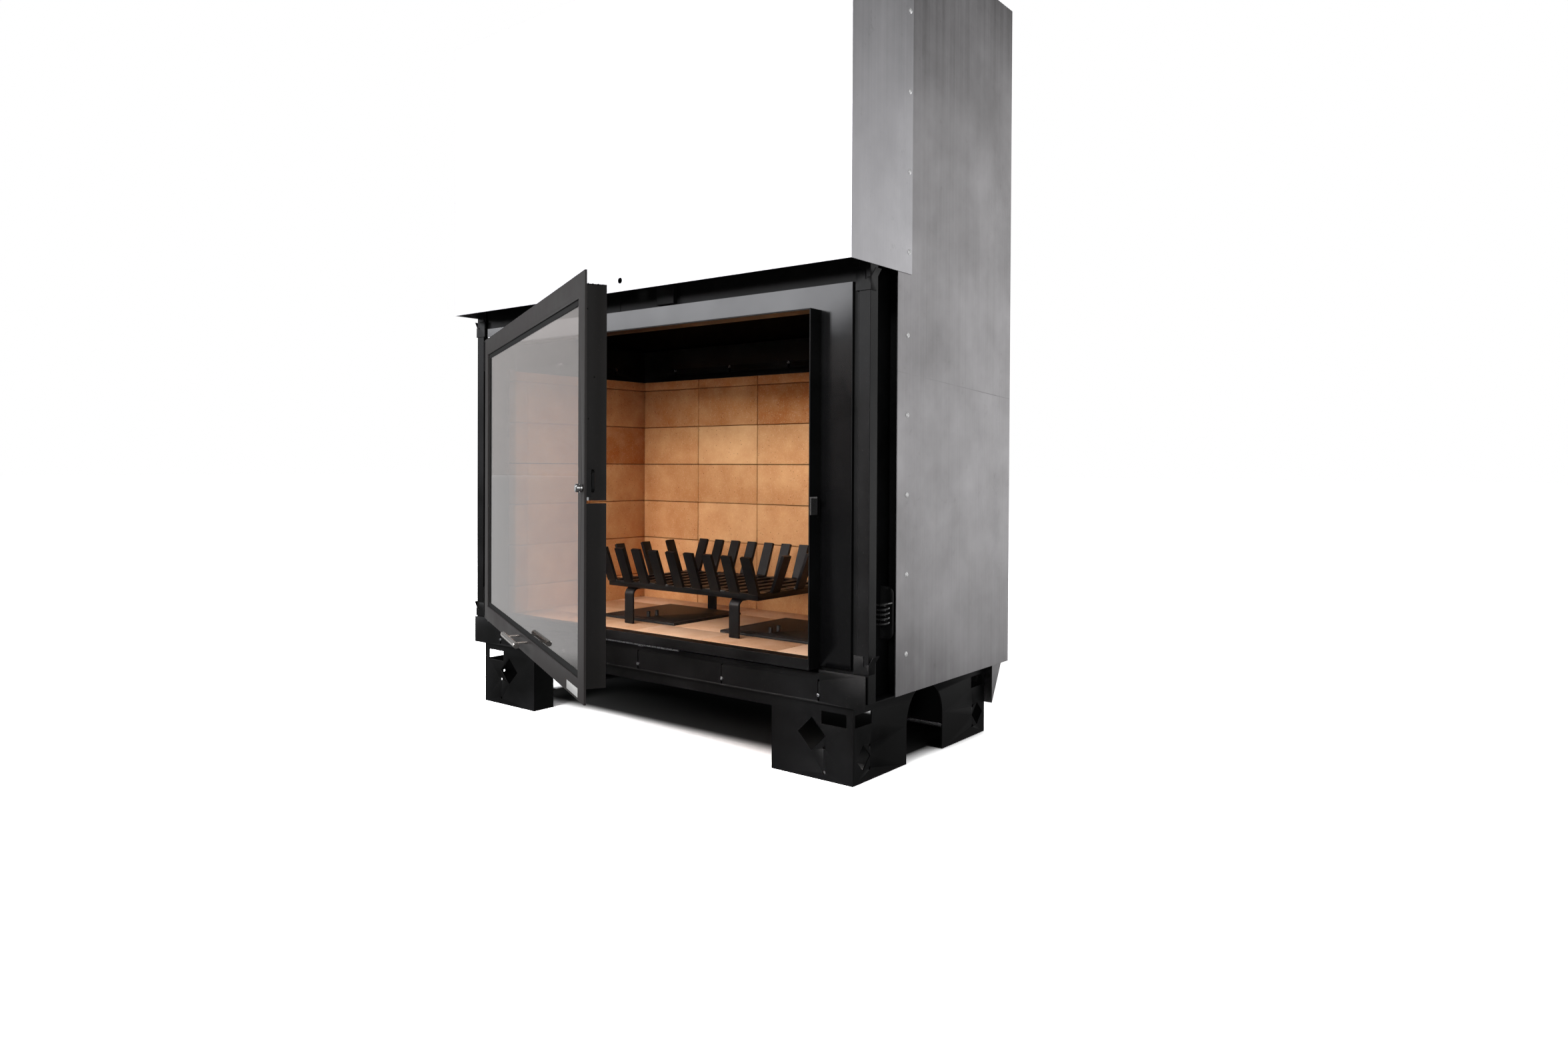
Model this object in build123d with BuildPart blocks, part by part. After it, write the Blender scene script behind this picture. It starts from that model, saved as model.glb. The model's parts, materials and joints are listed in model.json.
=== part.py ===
from build123d import *
import math
import os

# Fireplace insert with a glazed door, drawn with the door swung open for cleaning the glass.
# Millimetres, Z up. The origin lies on the floor under the middle of the base.
# X runs to the right as seen from the front and Y runs to the back.
# Distances called "behind" are measured from the front plane of the base.

# Sheets and plates
base_sheet = 3.0
cover_sheet = 2.0
body_plate = 4.0
brick_thickness = 30.0
brick_joint = 1.0

# Clearances
moving_gap = 0.3
pin_clearance = 0.05
panel_clearance = 2.0

# Base
base_width = 1160.0
base_depth = 560.0
base_height = 163.0
foot_width = 200.0
foot_return = 60.0
foot_gap_height = 130.0
cutout_length = 60.0
cutout_height = 26.0
cutout_level = 125.0
cutout_from_side = 45.5
diamond_half = 34.0
diamond_from_side = 99.0
diamond_level = 88.6
small_hole_radius = 3.5
small_hole_from_side = 68.0
small_hole_levels = (65.0, 16.0)
side_diamond_half = 26.0
side_diamond_level = 49.0
side_cutout_from_end = 37.0
side_arch_width = 154.0
side_arch_top = 158.0
side_hole_from_end = 60.0
side_hole_levels = (70.0, 24.0)
anchor_flange = 40.0
anchor_hole_radius = 5.5
anchor_from_side = 24.0
anchor_from_end = 75.0

# Body above the base, which stands out past the base by the overhangs
body_overhang = 33.0
body_back_overhang = 52.0
jacket_gap = 29.0
body_top = 1700.0
panel_front = 100.0
skirt_drop = 94.0
skirt_reach = 50.0
skirt_inset = 13.0
rivet_radius = 5.5
rivet_height = 2.5
rivet_pitch = 161.0
panel_rivet_behind = 139.0
panel_rivet_level = 244.0
panel_rivet_count = 5
casing_rivet_level = 1054.6
casing_rivet_count = 4

# Chamber lined with firebricks
chamber_front = 78.0
chamber_from_back = 52.0
chamber_floor = 226.0
first_course_top = 297.0
course = 110.4
course_count = 5
lining_top = 881.0
brick_length = 220.0
firebox_top = 1100.0
stiffener_behind = 125.0
stiffener_reach = 16.0
retainer_sheet = 3.0
retainer_overlap = 6.0
retainer_top = 965.0
keyhole_pitch = 209.0
keyhole_from_back = 122.0
keyhole_level = 893.0
keyhole_radius = 4.5
keyhole_slot = 5.0
keyhole_length = 16.0
baffle_thickness = 25.0
baffle_front = 190.0
baffle_front_level = 1045.0
baffle_back_level = 972.0

# Mouth, fascia and apron
mouth_top = 932.6
mouth_bottom = 222.0
mouth_reach = 35.0
mouth_sheet = 3.0
mouth_lip_top = 243.5
fascia_from_side = 39.5
fascia_side_width = 74.5
fascia_bottom = 226.0
fascia_top = 981.0
fascia_depth = 8.0
lintel_joint_x = -79.0
lintel_joint_gap = 1.0
stop_left = 50.0
stop_right = 102.0
stop_bottom = 983.0
stop_top = 1040.0
stop_reach = 5.0
stop_chamfer = 1.5
apron_front = 9.0
apron_bottom = 154.0
apron_top = 214.0
apron_ends_top = 221.0
apron_shelf_lap = 6.0
apron_slot_width = 4.5
apron_slot_length = 44.0
apron_slot_level = 180.0
apron_slot_from_side = 109.0
apron_screw_level = 170.0
screw_head_radius = 4.0
screw_head_height = 2.5
screw_chamfer = 0.8
deck_lip_height = 30.0

# Guide rails beside the fascia
rail_width = 26.0
rail_front = -1.0
rail_back = 26.0
rail_sheet = 3.0
rail_top = 1500.0
clip_lap = 7.0
clip_sheet = 2.0
clip_leg_back = 20.0
lower_clip_bottom = 222.0
lower_clip_top = 258.0
upper_clip_bottom = 961.0
upper_clip_top = 1002.0
clip_flare = 10.0
clip_flare_height = 16.0
clip_notch_width = 7.0
clip_notch_depth = 20.0

# Upper casing, top and flue
casing_front = 70.0
casing_bottom = 1011.0
casing_return = 151.0
casing_hole_level = 1035.4
casing_hole_radius = 4.25
flue_radius = 125.0
flue_sheet = 3.0
flue_behind = 330.0
flue_rise = 60.0
flue_top = body_top + flue_rise
hood_top = 1450.0
inlet_radius = 75.0
inlet_sheet = 2.0
inlet_from_back = 142.0
inlet_length = 60.0

# Ash openings in the floor
ash_frame_size = 260.0
ash_frame_rim = 15.0
ash_lid_seat = 8.0
ash_rebate_size = ash_frame_size - 2 * ash_frame_rim
ash_opening_size = ash_rebate_size - 2 * ash_lid_seat
ash_centre_x = 205.0
ash_centre_behind = 320.0
ash_frame_rise = 6.0
ash_frame_chamfer = 2.0
ash_lid_thickness = 8.0
ash_peg_radius = 5.0
ash_peg_height = 15.0
ash_peg_chamfer = 1.5
ash_peg_spacing = 30.0
ash_peg_x = 200.0
ash_peg_behind = 242.0
ash_pit_inset = 10.0
ash_pit_size = ash_frame_size - 2 * ash_pit_inset
ash_pit_bottom = 132.0
ash_pit_sheet = 3.0

# Lifting gear at the sides
counterweight_width = 20.0
counterweight_depth = 48.0
counterweight_height = 400.0
counterweight_drop = 120.0
pulley_below_top = 130.0
pulley_level = body_top - pulley_below_top
counterweight_bottom = pulley_level - counterweight_drop - counterweight_height
counterweight_chamfer = 2.0
pulley_rim_radius = 34.0
pulley_width = 8.0
pulley_axle_radius = 5.0
hanger_radius = 12.5
cable_radius = 1.5
cable_front_behind = 12.5
carriage_width = 18.0
carriage_depth = 15.0
spring_coil_radius = 11.5
spring_wire_radius = 2.0
spring_inset = 13.0
spring_behind = 75.0
spring_bottom = 309.0
spring_pitch = 9.6
spring_half_turns = 9
bracket_bottom = 279.0
bracket_top = 385.0
bracket_sheet = 3.0
bracket_width = 28.0

# Door, hung on the left, in its own directions: along the door from the hinge axis,
# depth behind the hinge axis, and height above the floor
door_opening_angle = 27.9
hinge_from_mouth = 16.0
hinge_behind = -36.0
hinge_pin_radius = 3.0
hinge_pin_head_radius = 5.0
hinge_knuckle_radius = 6.0
hinge_knuckle_height = 20.0
hinge_knuckle_inset = 2.0
hinge_web_half_width = 4.0
door_lap = 29.0
door_bottom = 227.0
door_top = 944.0
door_front_depth = 10.0
door_plate = 4.0
window_side_border = 44.0
window_bottom_border = 36.0
window_top_border = 41.0
window_chamfer = 1.5
gasket_band = 10.0
gasket_seat = 10.0
gasket_thickness = 1.0
glass_thickness = 4.0
retainer_ring_wall = 6.0
retainer_ring_lip = 16.0
retainer_ring_sheet = 1.5
flange_from_edge = 21.0
flange_sheet = 2.0
flange_inset_bottom = 22.0
flange_inset_top = 19.0
flange_depth = 39.0
handle_level = 254.5
handle_radius = 6.0
handle_length = 156.0
handle_post_spacing = 91.0
handle_post_radius = 2.5
handle_stand_off = 28.5
handle_chamfer = 1.0
latch_from_edge = 13.0
latch_level = 585.0
latch_head_radius = 7.0
latch_head_height = 12.0
latch_head_chamfer = 1.2
latch_shaft_radius = 5.0
lever_half_width = 7.5
lever_reach = 31.0
lever_tail = 15.0
lever_thickness = 5.0
lever_gap = 1.0
strike_bottom = 527.0
strike_height = 36.0
strike_reach = 17.0
strike_plate = 3.0
strike_corner = 4.0
strike_base_depth = 24.0
strike_lever_gap = 0.4
strike_notch_margin = 6.0
arm_thickness = 4.0
arm_width = 14.0
arm_gap = 1.0
gusset_from_rail = 9.0
gusset_sheet = 5.0
gusset_height = 78.0

# Log basket
basket_centre_x = -14.0
basket_length = 486.0
basket_front = 141.5
basket_back = 463.0
basket_bottom = 318.0
basket_frame_height = 14.0
basket_frame_bar = 10.0
grate_bar_count = 11
grate_bar_pitch = 45.0
grate_bar_width = 20.0
grate_bar_thickness = 8.0
grate_top = 334.0
finger_count = 9
finger_pitch = 58.0
finger_width = 28.0
finger_thickness = 8.0
finger_reach = 35.0
finger_top = 416.0
finger_foot = 34.0
finger_bend = 12.0
end_finger_behind = (207.0, 302.0, 397.0)
leg_offset = 172.0
leg_width = 30.0
leg_thickness = 6.0
leg_bend = 20.0

# Slide of the combustion air
slide_width = 16.0
slide_thickness = 3.0
slide_length = 300.0
slide_tab_x = 37.5
slide_tab_width = 17.0
slide_tab_reach = 6.0
slide_tab_corner = 3.0
slide_guide_x = 110.0
slide_guide_width = 20.0

# Places that follow from the sizes above
front = -base_depth / 2
rear = base_depth / 2
half_base = base_width / 2
body_half_width = half_base + body_overhang
body_back = base_depth + body_back_overhang
skirt_half_width = body_half_width - skirt_inset
deck_top = base_height + base_sheet
apron_back = apron_front - cover_sheet
steel_outer = body_half_width - jacket_gap
steel_half_width = steel_outer - body_plate
chamber_half_width = steel_half_width - brick_thickness
chamber_back = body_back - chamber_from_back
steel_back = chamber_back + brick_thickness
inlet_behind = body_back - inlet_from_back
fascia_half_width = body_half_width - fascia_from_side
mouth_half_width = fascia_half_width - fascia_side_width
apron_shelf_half_width = mouth_half_width + apron_shelf_lap
apron_slot_pitch = (body_half_width - apron_slot_from_side) / 2
steel_floor = chamber_floor - brick_thickness
firebox_front_back = fascia_depth + body_plate
panel_outer = body_half_width + cover_sheet
casing_outer = panel_outer + cover_sheet
rail_outer = panel_outer
rail_inner = rail_outer - rail_width
clip_inner = rail_inner - clip_lap
gusset_outer = rail_inner - gusset_from_rail
spring_centre_x = body_half_width - spring_inset
hinge_x = -mouth_half_width - hinge_from_mouth
door_half_width = mouth_half_width + door_lap
door_overhang = door_half_width + hinge_x
door_reach = door_half_width - hinge_x
course_edges = [steel_floor, first_course_top]
course_edges += [first_course_top + course * (row + 1) for row in range(course_count)]
course_edges += [lining_top]


def behind(distance):
    """Y of a plane at this distance behind the front plane of the base."""
    return front + distance


def upright(distance):
    """Plane seen from the front, at this distance behind the front plane of the base."""
    return Plane.XZ.offset(-behind(distance))


def sideways(x):
    """Plane seen from the right, with Y across and Z up."""
    return Plane.YZ.offset(x)


def level(z):
    """Plane seen from above."""
    return Plane.XY.offset(z)


def span(x0, x1, y0, y1, mode=Mode.ADD):
    """Rectangle between two corners of the active sketch."""
    with Locations(((x0 + x1) / 2, (y0 + y1) / 2)):
        Rectangle(abs(x1 - x0), abs(y1 - y0), mode=mode)


def bent_bar(points, thickness, bend, side=Side.LEFT):
    """Section of a flat bar bent round the points, lying to one side of them."""
    with BuildLine() as outline:
        FilletPolyline(*points, radius=bend)
        offset(amount=thickness, side=side)
    make_face(outline.edges())


def save(piece, name):
    """Label a finished piece and write its file."""
    piece.part.label = name
    export_step(piece.part, f"parts/{name}.step")


os.makedirs("parts", exist_ok=True)

# ------------------------------------------------------------------------------------------
# Base: folded sheet walls with feet, and the deck that the body stands on
# ------------------------------------------------------------------------------------------


def base_wall(outer, inward):
    """Front or back wall of the base, with a foot at each end and lightening cut-outs."""
    opening = half_base - foot_width
    with BuildPart() as wall:
        with BuildSketch(upright(outer)):
            span(-half_base, half_base, 0, base_height)
            span(-opening, opening, 0, foot_gap_height, mode=Mode.SUBTRACT)
            for side in (-1, 1):
                with Locations((side * (half_base - cutout_from_side), cutout_level)):
                    Rectangle(cutout_length, cutout_height, mode=Mode.SUBTRACT)
                with Locations((side * (half_base - diamond_from_side), diamond_level)):
                    RegularPolygon(diamond_half, 4, mode=Mode.SUBTRACT)
                with Locations(*((side * (half_base - small_hole_from_side), z) for z in small_hole_levels)):
                    Circle(small_hole_radius, mode=Mode.SUBTRACT)
        extrude(amount=-inward * base_sheet)
        with BuildSketch(upright(outer + inward * base_sheet)):
            for side in (-1, 1):
                span(side * opening, side * (opening + base_sheet), 0, base_height)
        extrude(amount=-inward * foot_return)
    return wall


base_front = base_wall(0, 1)
save(base_front, "base_front")
base_rear = base_wall(base_depth, -1)
save(base_rear, "base_rear")

arch_radius = side_arch_width / 2
side_arch_springing = side_arch_top - arch_radius
with BuildPart() as base_sides:
    for side in (-1, 1):
        inside = side * (half_base - base_sheet)
        with BuildSketch(sideways(side * half_base)):
            span(front + base_sheet, rear - base_sheet, 0, base_height)
            span(-arch_radius, arch_radius, 0, side_arch_springing, mode=Mode.SUBTRACT)
            with Locations((0, side_arch_springing)):
                Circle(arch_radius, mode=Mode.SUBTRACT)
            for end in (-1, 1):
                with Locations((end * (rear - side_cutout_from_end), cutout_level)):
                    Rectangle(cutout_length, cutout_height, mode=Mode.SUBTRACT)
                with Locations((end * (rear - side_cutout_from_end), side_diamond_level)):
                    RegularPolygon(side_diamond_half, 4, mode=Mode.SUBTRACT)
                with Locations(*((end * (rear - side_hole_from_end), z) for z in side_hole_levels)):
                    Circle(small_hole_radius, mode=Mode.SUBTRACT)
        extrude(amount=-side * base_sheet)
        with BuildSketch(Plane.XY):
            for end in (-1, 1):
                span(inside, inside - side * anchor_flange, end * arch_radius, end * (rear - base_sheet))
                with Locations((side * (half_base - anchor_from_side), end * (rear - anchor_from_end))):
                    Circle(anchor_hole_radius, mode=Mode.SUBTRACT)
        extrude(amount=base_sheet)
save(base_sides, "base_sides")

pit_hole = ash_pit_size + 2 * panel_clearance
with BuildPart() as base_deck:
    with BuildSketch(level(base_height)):
        span(-body_half_width, body_half_width, behind(-apron_back), behind(body_back))
        with Locations((-ash_centre_x, behind(ash_centre_behind)), (ash_centre_x, behind(ash_centre_behind))):
            Rectangle(pit_hole, pit_hole, mode=Mode.SUBTRACT)
        with Locations((0, behind(inlet_behind))):
            Circle(inlet_radius - inlet_sheet, mode=Mode.SUBTRACT)
    extrude(amount=base_sheet)
    with BuildSketch(upright(-apron_back)):
        span(-steel_outer, steel_outer, deck_top, deck_top + deck_lip_height)
    extrude(amount=-base_sheet)
save(base_deck, "base_deck")

with BuildPart() as rear_skirt:
    with BuildSketch(sideways(-skirt_half_width)):
        with BuildLine():
            Polyline((rear, base_height), (rear + skirt_reach, base_height),
                     (rear, base_height - skirt_drop), close=True)
        make_face()
    extrude(amount=2 * skirt_half_width)
    with BuildSketch(sideways(-skirt_half_width + cover_sheet)):
        slope = math.hypot(skirt_reach, skirt_drop)
        inset_y = cover_sheet * slope / skirt_drop
        inset_z = cover_sheet * slope / skirt_reach
        with BuildLine():
            Polyline((rear, base_height), (rear + skirt_reach - inset_y, base_height),
                     (rear, base_height - skirt_drop + inset_z), close=True)
        make_face()
    extrude(amount=2 * (skirt_half_width - cover_sheet), mode=Mode.SUBTRACT)
save(rear_skirt, "rear_skirt")

with BuildPart() as air_inlet_spigot:
    with BuildSketch(level(base_height)):
        with Locations((0, behind(inlet_behind))):
            Circle(inlet_radius)
            Circle(inlet_radius - inlet_sheet, mode=Mode.SUBTRACT)
    extrude(amount=-inlet_length)
save(air_inlet_spigot, "air_inlet_spigot")

# ------------------------------------------------------------------------------------------
# Apron under the mouth, with slots so that it can be set up or down
# ------------------------------------------------------------------------------------------

slot_places = [column * apron_slot_pitch for column in (-2, -1, 0, 1, 2)]
with BuildPart() as apron:
    with BuildSketch(upright(-apron_front)):
        span(-body_half_width, body_half_width, apron_bottom, apron_top)
        for side in (-1, 1):
            span(side * apron_shelf_half_width, side * body_half_width, apron_top, apron_ends_top)
        with Locations(*((x, apron_slot_level) for x in slot_places)):
            SlotOverall(apron_slot_length, apron_slot_width, rotation=90, mode=Mode.SUBTRACT)
    extrude(amount=-cover_sheet)
    with BuildSketch(level(apron_top)):
        span(-apron_shelf_half_width, apron_shelf_half_width, behind(-apron_back), behind(fascia_depth))
    extrude(amount=-cover_sheet)
save(apron, "apron")

with BuildPart() as apron_screws:
    with BuildSketch(upright(-apron_front)):
        with Locations(*((x, apron_screw_level) for x in slot_places)):
            Circle(screw_head_radius)
    extrude(amount=screw_head_height)
    chamfer(apron_screws.faces().group_by(Axis.Y)[0].edges(), screw_chamfer)
    with BuildSketch(upright(-apron_front)):
        with Locations(*((x, apron_screw_level) for x in slot_places)):
            Circle(apron_slot_width / 2 - moving_gap)
    extrude(amount=-cover_sheet)
save(apron_screws, "apron_screws")

# ------------------------------------------------------------------------------------------
# Firebox: welded steel box, front wall round the mouth, lintel and smoke hood
# ------------------------------------------------------------------------------------------

with BuildPart() as firebox_front:
    with BuildSketch(upright(fascia_depth)):
        span(-steel_outer, steel_outer, deck_top, fascia_top)
        span(-mouth_half_width, mouth_half_width, mouth_bottom, mouth_top, mode=Mode.SUBTRACT)
    extrude(amount=-body_plate)
save(firebox_front, "firebox_front")

for side, name in ((-1, "firebox_side_left"), (1, "firebox_side_right")):
    with BuildPart() as firebox_side:
        with BuildSketch(sideways(side * steel_half_width)):
            span(behind(firebox_front_back), behind(steel_back), deck_top, firebox_top)
        extrude(amount=side * body_plate)
        with BuildSketch(level(deck_top)):
            span(side * steel_outer, side * (steel_outer + stiffener_reach),
                 behind(stiffener_behind - body_plate / 2), behind(stiffener_behind + body_plate / 2))
        extrude(amount=firebox_top - deck_top)
    save(firebox_side, name)

with BuildPart() as firebox_back:
    with BuildSketch(upright(steel_back)):
        span(-steel_outer, steel_outer, deck_top, firebox_top)
    extrude(amount=-body_plate)
save(firebox_back, "firebox_back")

with BuildPart() as firebox_floor:
    with BuildSketch(level(steel_floor)):
        span(-steel_half_width, steel_half_width, behind(firebox_front_back), behind(steel_back))
        with Locations((-ash_centre_x, behind(ash_centre_behind)), (ash_centre_x, behind(ash_centre_behind))):
            Rectangle(ash_opening_size, ash_opening_size, mode=Mode.SUBTRACT)
    extrude(amount=-body_plate)
save(firebox_floor, "firebox_floor")

with BuildPart() as hearth_sill:
    with BuildSketch(sideways(-steel_half_width)):
        span(behind(firebox_front_back), behind(chamber_front), mouth_bottom, mouth_bottom + mouth_sheet)
        span(behind(chamber_front - mouth_sheet), behind(chamber_front), steel_floor, mouth_bottom + mouth_sheet)
    extrude(amount=2 * steel_half_width)
save(hearth_sill, "hearth_sill")

with BuildPart() as lintel_plate:
    with BuildSketch(upright(fascia_depth)):
        span(-steel_outer, lintel_joint_x - lintel_joint_gap / 2, fascia_top, firebox_top)
        span(lintel_joint_x + lintel_joint_gap / 2, steel_outer, fascia_top, firebox_top)
    extrude(amount=-body_plate)
save(lintel_plate, "lintel_plate")

with BuildPart() as lintel_stop:
    with BuildSketch(upright(-stop_reach)):
        span(stop_left, stop_right, stop_bottom, stop_top)
    extrude(amount=-(stop_reach + fascia_depth))
    chamfer(lintel_stop.faces().sort_by(Axis.Y)[0].edges(), stop_chamfer)
save(lintel_stop, "lintel_stop")

hood_middle = (behind(fascia_depth) + behind(steel_back + body_plate)) / 2
hood_depth = steel_back + body_plate - fascia_depth
with BuildPart() as smoke_hood:
    for wall, mode in ((0, Mode.ADD), (body_plate, Mode.SUBTRACT)):
        with BuildSketch(level(firebox_top)):
            with Locations((0, hood_middle)):
                Rectangle(2 * (steel_outer - wall), hood_depth - 2 * wall)
        with BuildSketch(level(hood_top)):
            with Locations((0, behind(flue_behind))):
                Circle(flue_radius - wall)
        loft(mode=mode)
save(smoke_hood, "smoke_hood")

with BuildPart() as flue_spigot:
    with BuildSketch(level(hood_top)):
        with Locations((0, behind(flue_behind))):
            Circle(flue_radius)
            Circle(flue_radius - flue_sheet, mode=Mode.SUBTRACT)
    extrude(amount=flue_top - hood_top)
save(flue_spigot, "flue_spigot")

# ------------------------------------------------------------------------------------------
# Firebrick lining, its retaining angles and the baffle
# ------------------------------------------------------------------------------------------

half_joint = brick_joint / 2
brick_columns = round(2 * chamber_half_width / brick_length)
column_width = 2 * chamber_half_width / brick_columns
column_edges = [-chamber_half_width + column_width * column for column in range(brick_columns + 1)]


def lay_bricks(across, up):
    """Stacked bricks between these lines of the active sketch, parted by the joint."""
    for left, right in zip(across, across[1:]):
        for low, high in zip(up, up[1:]):
            span(left + half_joint, right - half_joint, low, high - brick_joint)


with BuildPart() as back_bricks:
    with BuildSketch(upright(chamber_back)):
        lay_bricks(column_edges, course_edges)
    extrude(amount=-brick_thickness)
save(back_bricks, "back_bricks")

side_edges = [behind(steel_back), behind(chamber_back - brick_length)]
side_edges += [behind(chamber_back - 2 * brick_length), behind(chamber_front)]
for side, name in ((-1, "left_bricks"), (1, "right_bricks")):
    with BuildPart() as side_bricks:
        with BuildSketch(sideways(side * chamber_half_width)):
            lay_bricks(side_edges[::-1], course_edges)
        extrude(amount=side * brick_thickness)
    save(side_bricks, name)

ash_near = behind(ash_centre_behind - ash_frame_size / 2)
ash_far = behind(ash_centre_behind + ash_frame_size / 2)
ash_inner = ash_centre_x - ash_frame_size / 2
ash_outer = ash_centre_x + ash_frame_size / 2
with BuildPart() as floor_bricks:
    with BuildSketch(level(steel_floor)):
        for near, far in ((behind(chamber_front), ash_near), (ash_far, behind(chamber_back))):
            for left, right in zip(column_edges, column_edges[1:]):
                span(left + half_joint, right - half_joint, near + half_joint, far - half_joint)
        for left, right in ((-chamber_half_width, -ash_outer), (-ash_inner, ash_inner),
                            (ash_outer, chamber_half_width)):
            span(left + half_joint, right - half_joint, ash_near + half_joint, ash_far - half_joint)
    extrude(amount=brick_thickness)
save(floor_bricks, "floor_bricks")


def keyhole():
    """Keyhole cut at each active location: a round entry with a slot above it."""
    Circle(keyhole_radius, mode=Mode.SUBTRACT)
    with Locations((0, keyhole_length / 2)):
        SlotOverall(keyhole_length, keyhole_slot, rotation=90, mode=Mode.SUBTRACT)


retainer_bottom = lining_top - brick_joint - retainer_overlap
back_keyholes = [column * keyhole_pitch for column in (-2, -1, 0, 1, 2)]
side_keyholes = [behind(chamber_back - keyhole_from_back - keyhole_pitch * column) for column in (0, 1)]
with BuildPart() as back_retainer:
    with BuildSketch(upright(chamber_back - retainer_sheet)):
        span(-chamber_half_width, chamber_half_width, retainer_bottom, retainer_top)
        for x in back_keyholes:
            with Locations((x, keyhole_level)):
                keyhole()
    extrude(amount=-retainer_sheet)
    with BuildSketch(level(retainer_top)):
        span(-chamber_half_width, chamber_half_width, behind(chamber_back), behind(steel_back))
    extrude(amount=-retainer_sheet)
save(back_retainer, "back_retainer")

with BuildPart() as side_retainers:
    for side in (-1, 1):
        with BuildSketch(sideways(side * (chamber_half_width - retainer_sheet))):
            span(behind(chamber_front), behind(chamber_back - retainer_sheet - brick_joint),
                 retainer_bottom, retainer_top)
            for y in side_keyholes:
                with Locations((y, keyhole_level)):
                    keyhole()
        extrude(amount=side * retainer_sheet)
        with BuildSketch(level(retainer_top)):
            span(side * chamber_half_width, side * steel_half_width,
                 behind(chamber_front), behind(chamber_back - retainer_sheet - brick_joint))
        extrude(amount=-retainer_sheet)
save(side_retainers, "side_retainers")

screw_level = keyhole_level + keyhole_length - keyhole_radius
with BuildPart() as retainer_screws:
    with BuildSketch(upright(chamber_back - retainer_sheet)):
        with Locations(*((x, screw_level) for x in back_keyholes)):
            Circle(screw_head_radius)
    extrude(amount=screw_head_height)
    for side in (-1, 1):
        with BuildSketch(sideways(side * (chamber_half_width - retainer_sheet))):
            with Locations(*((y, screw_level) for y in side_keyholes)):
                Circle(screw_head_radius)
        extrude(amount=-side * screw_head_height)
save(retainer_screws, "retainer_screws")

with BuildPart() as baffle_plate:
    with BuildSketch(sideways(-steel_half_width)):
        with BuildLine():
            Polyline((behind(baffle_front), baffle_front_level),
                     (behind(steel_back), baffle_back_level),
                     (behind(steel_back), baffle_back_level + baffle_thickness),
                     (behind(baffle_front), baffle_front_level + baffle_thickness), close=True)
        make_face()
    extrude(amount=2 * steel_half_width)
save(baffle_plate, "baffle_plate")

# ------------------------------------------------------------------------------------------
# Mouth collar, fascia and the plate that the latch holds behind
# ------------------------------------------------------------------------------------------

with BuildPart() as mouth_collar:
    with BuildSketch(upright(-mouth_reach)):
        span(-mouth_half_width, mouth_half_width, mouth_bottom, mouth_top)
        span(-mouth_half_width + mouth_sheet, mouth_half_width - mouth_sheet,
             mouth_bottom + mouth_sheet, mouth_top - mouth_sheet, mode=Mode.SUBTRACT)
    extrude(amount=-(mouth_reach + firebox_front_back))
    with BuildSketch(upright(-mouth_reach)):
        span(-mouth_half_width + mouth_sheet, mouth_half_width - mouth_sheet,
             mouth_bottom + mouth_sheet, mouth_lip_top)
    extrude(amount=-mouth_sheet)
save(mouth_collar, "mouth_collar")

with BuildPart() as fascia:
    with BuildSketch(upright(0)):
        span(-fascia_half_width, fascia_half_width, fascia_bottom, fascia_top)
        span(-mouth_half_width, mouth_half_width, fascia_bottom, mouth_top, mode=Mode.SUBTRACT)
    extrude(amount=-cover_sheet)
    with BuildSketch(upright(cover_sheet)):
        for side in (-1, 1):
            span(side * fascia_half_width, side * (fascia_half_width - cover_sheet), fascia_bottom, fascia_top)
        span(-fascia_half_width, fascia_half_width, fascia_top - cover_sheet, fascia_top)
    extrude(amount=-(fascia_depth - cover_sheet))
save(fascia, "fascia")

with BuildPart() as strike:
    with BuildSketch(level(strike_bottom)):
        span(mouth_half_width, mouth_half_width + strike_reach,
             behind(-mouth_reach), behind(-mouth_reach + strike_plate))
        span(mouth_half_width, mouth_half_width + strike_plate,
             behind(-mouth_reach), behind(-mouth_reach + strike_base_depth))
    extrude(amount=strike_height)
    fillet(strike.faces().sort_by(Axis.X)[-1].edges().filter_by(Axis.Y), strike_corner)
save(strike, "strike")

# ------------------------------------------------------------------------------------------
# Guide rails, their clips and the hidden lifting gear
# ------------------------------------------------------------------------------------------

with BuildPart() as guide_rails:
    with BuildSketch(level(deck_top)):
        for side in (-1, 1):
            span(side * rail_inner, side * rail_outer, behind(rail_front), behind(rail_back))
            span(side * rail_inner, side * (rail_outer - rail_sheet), behind(rail_front + rail_sheet),
                 behind(rail_back - rail_sheet), mode=Mode.SUBTRACT)
    extrude(amount=rail_top - deck_top)
save(guide_rails, "guide_rails")

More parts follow.
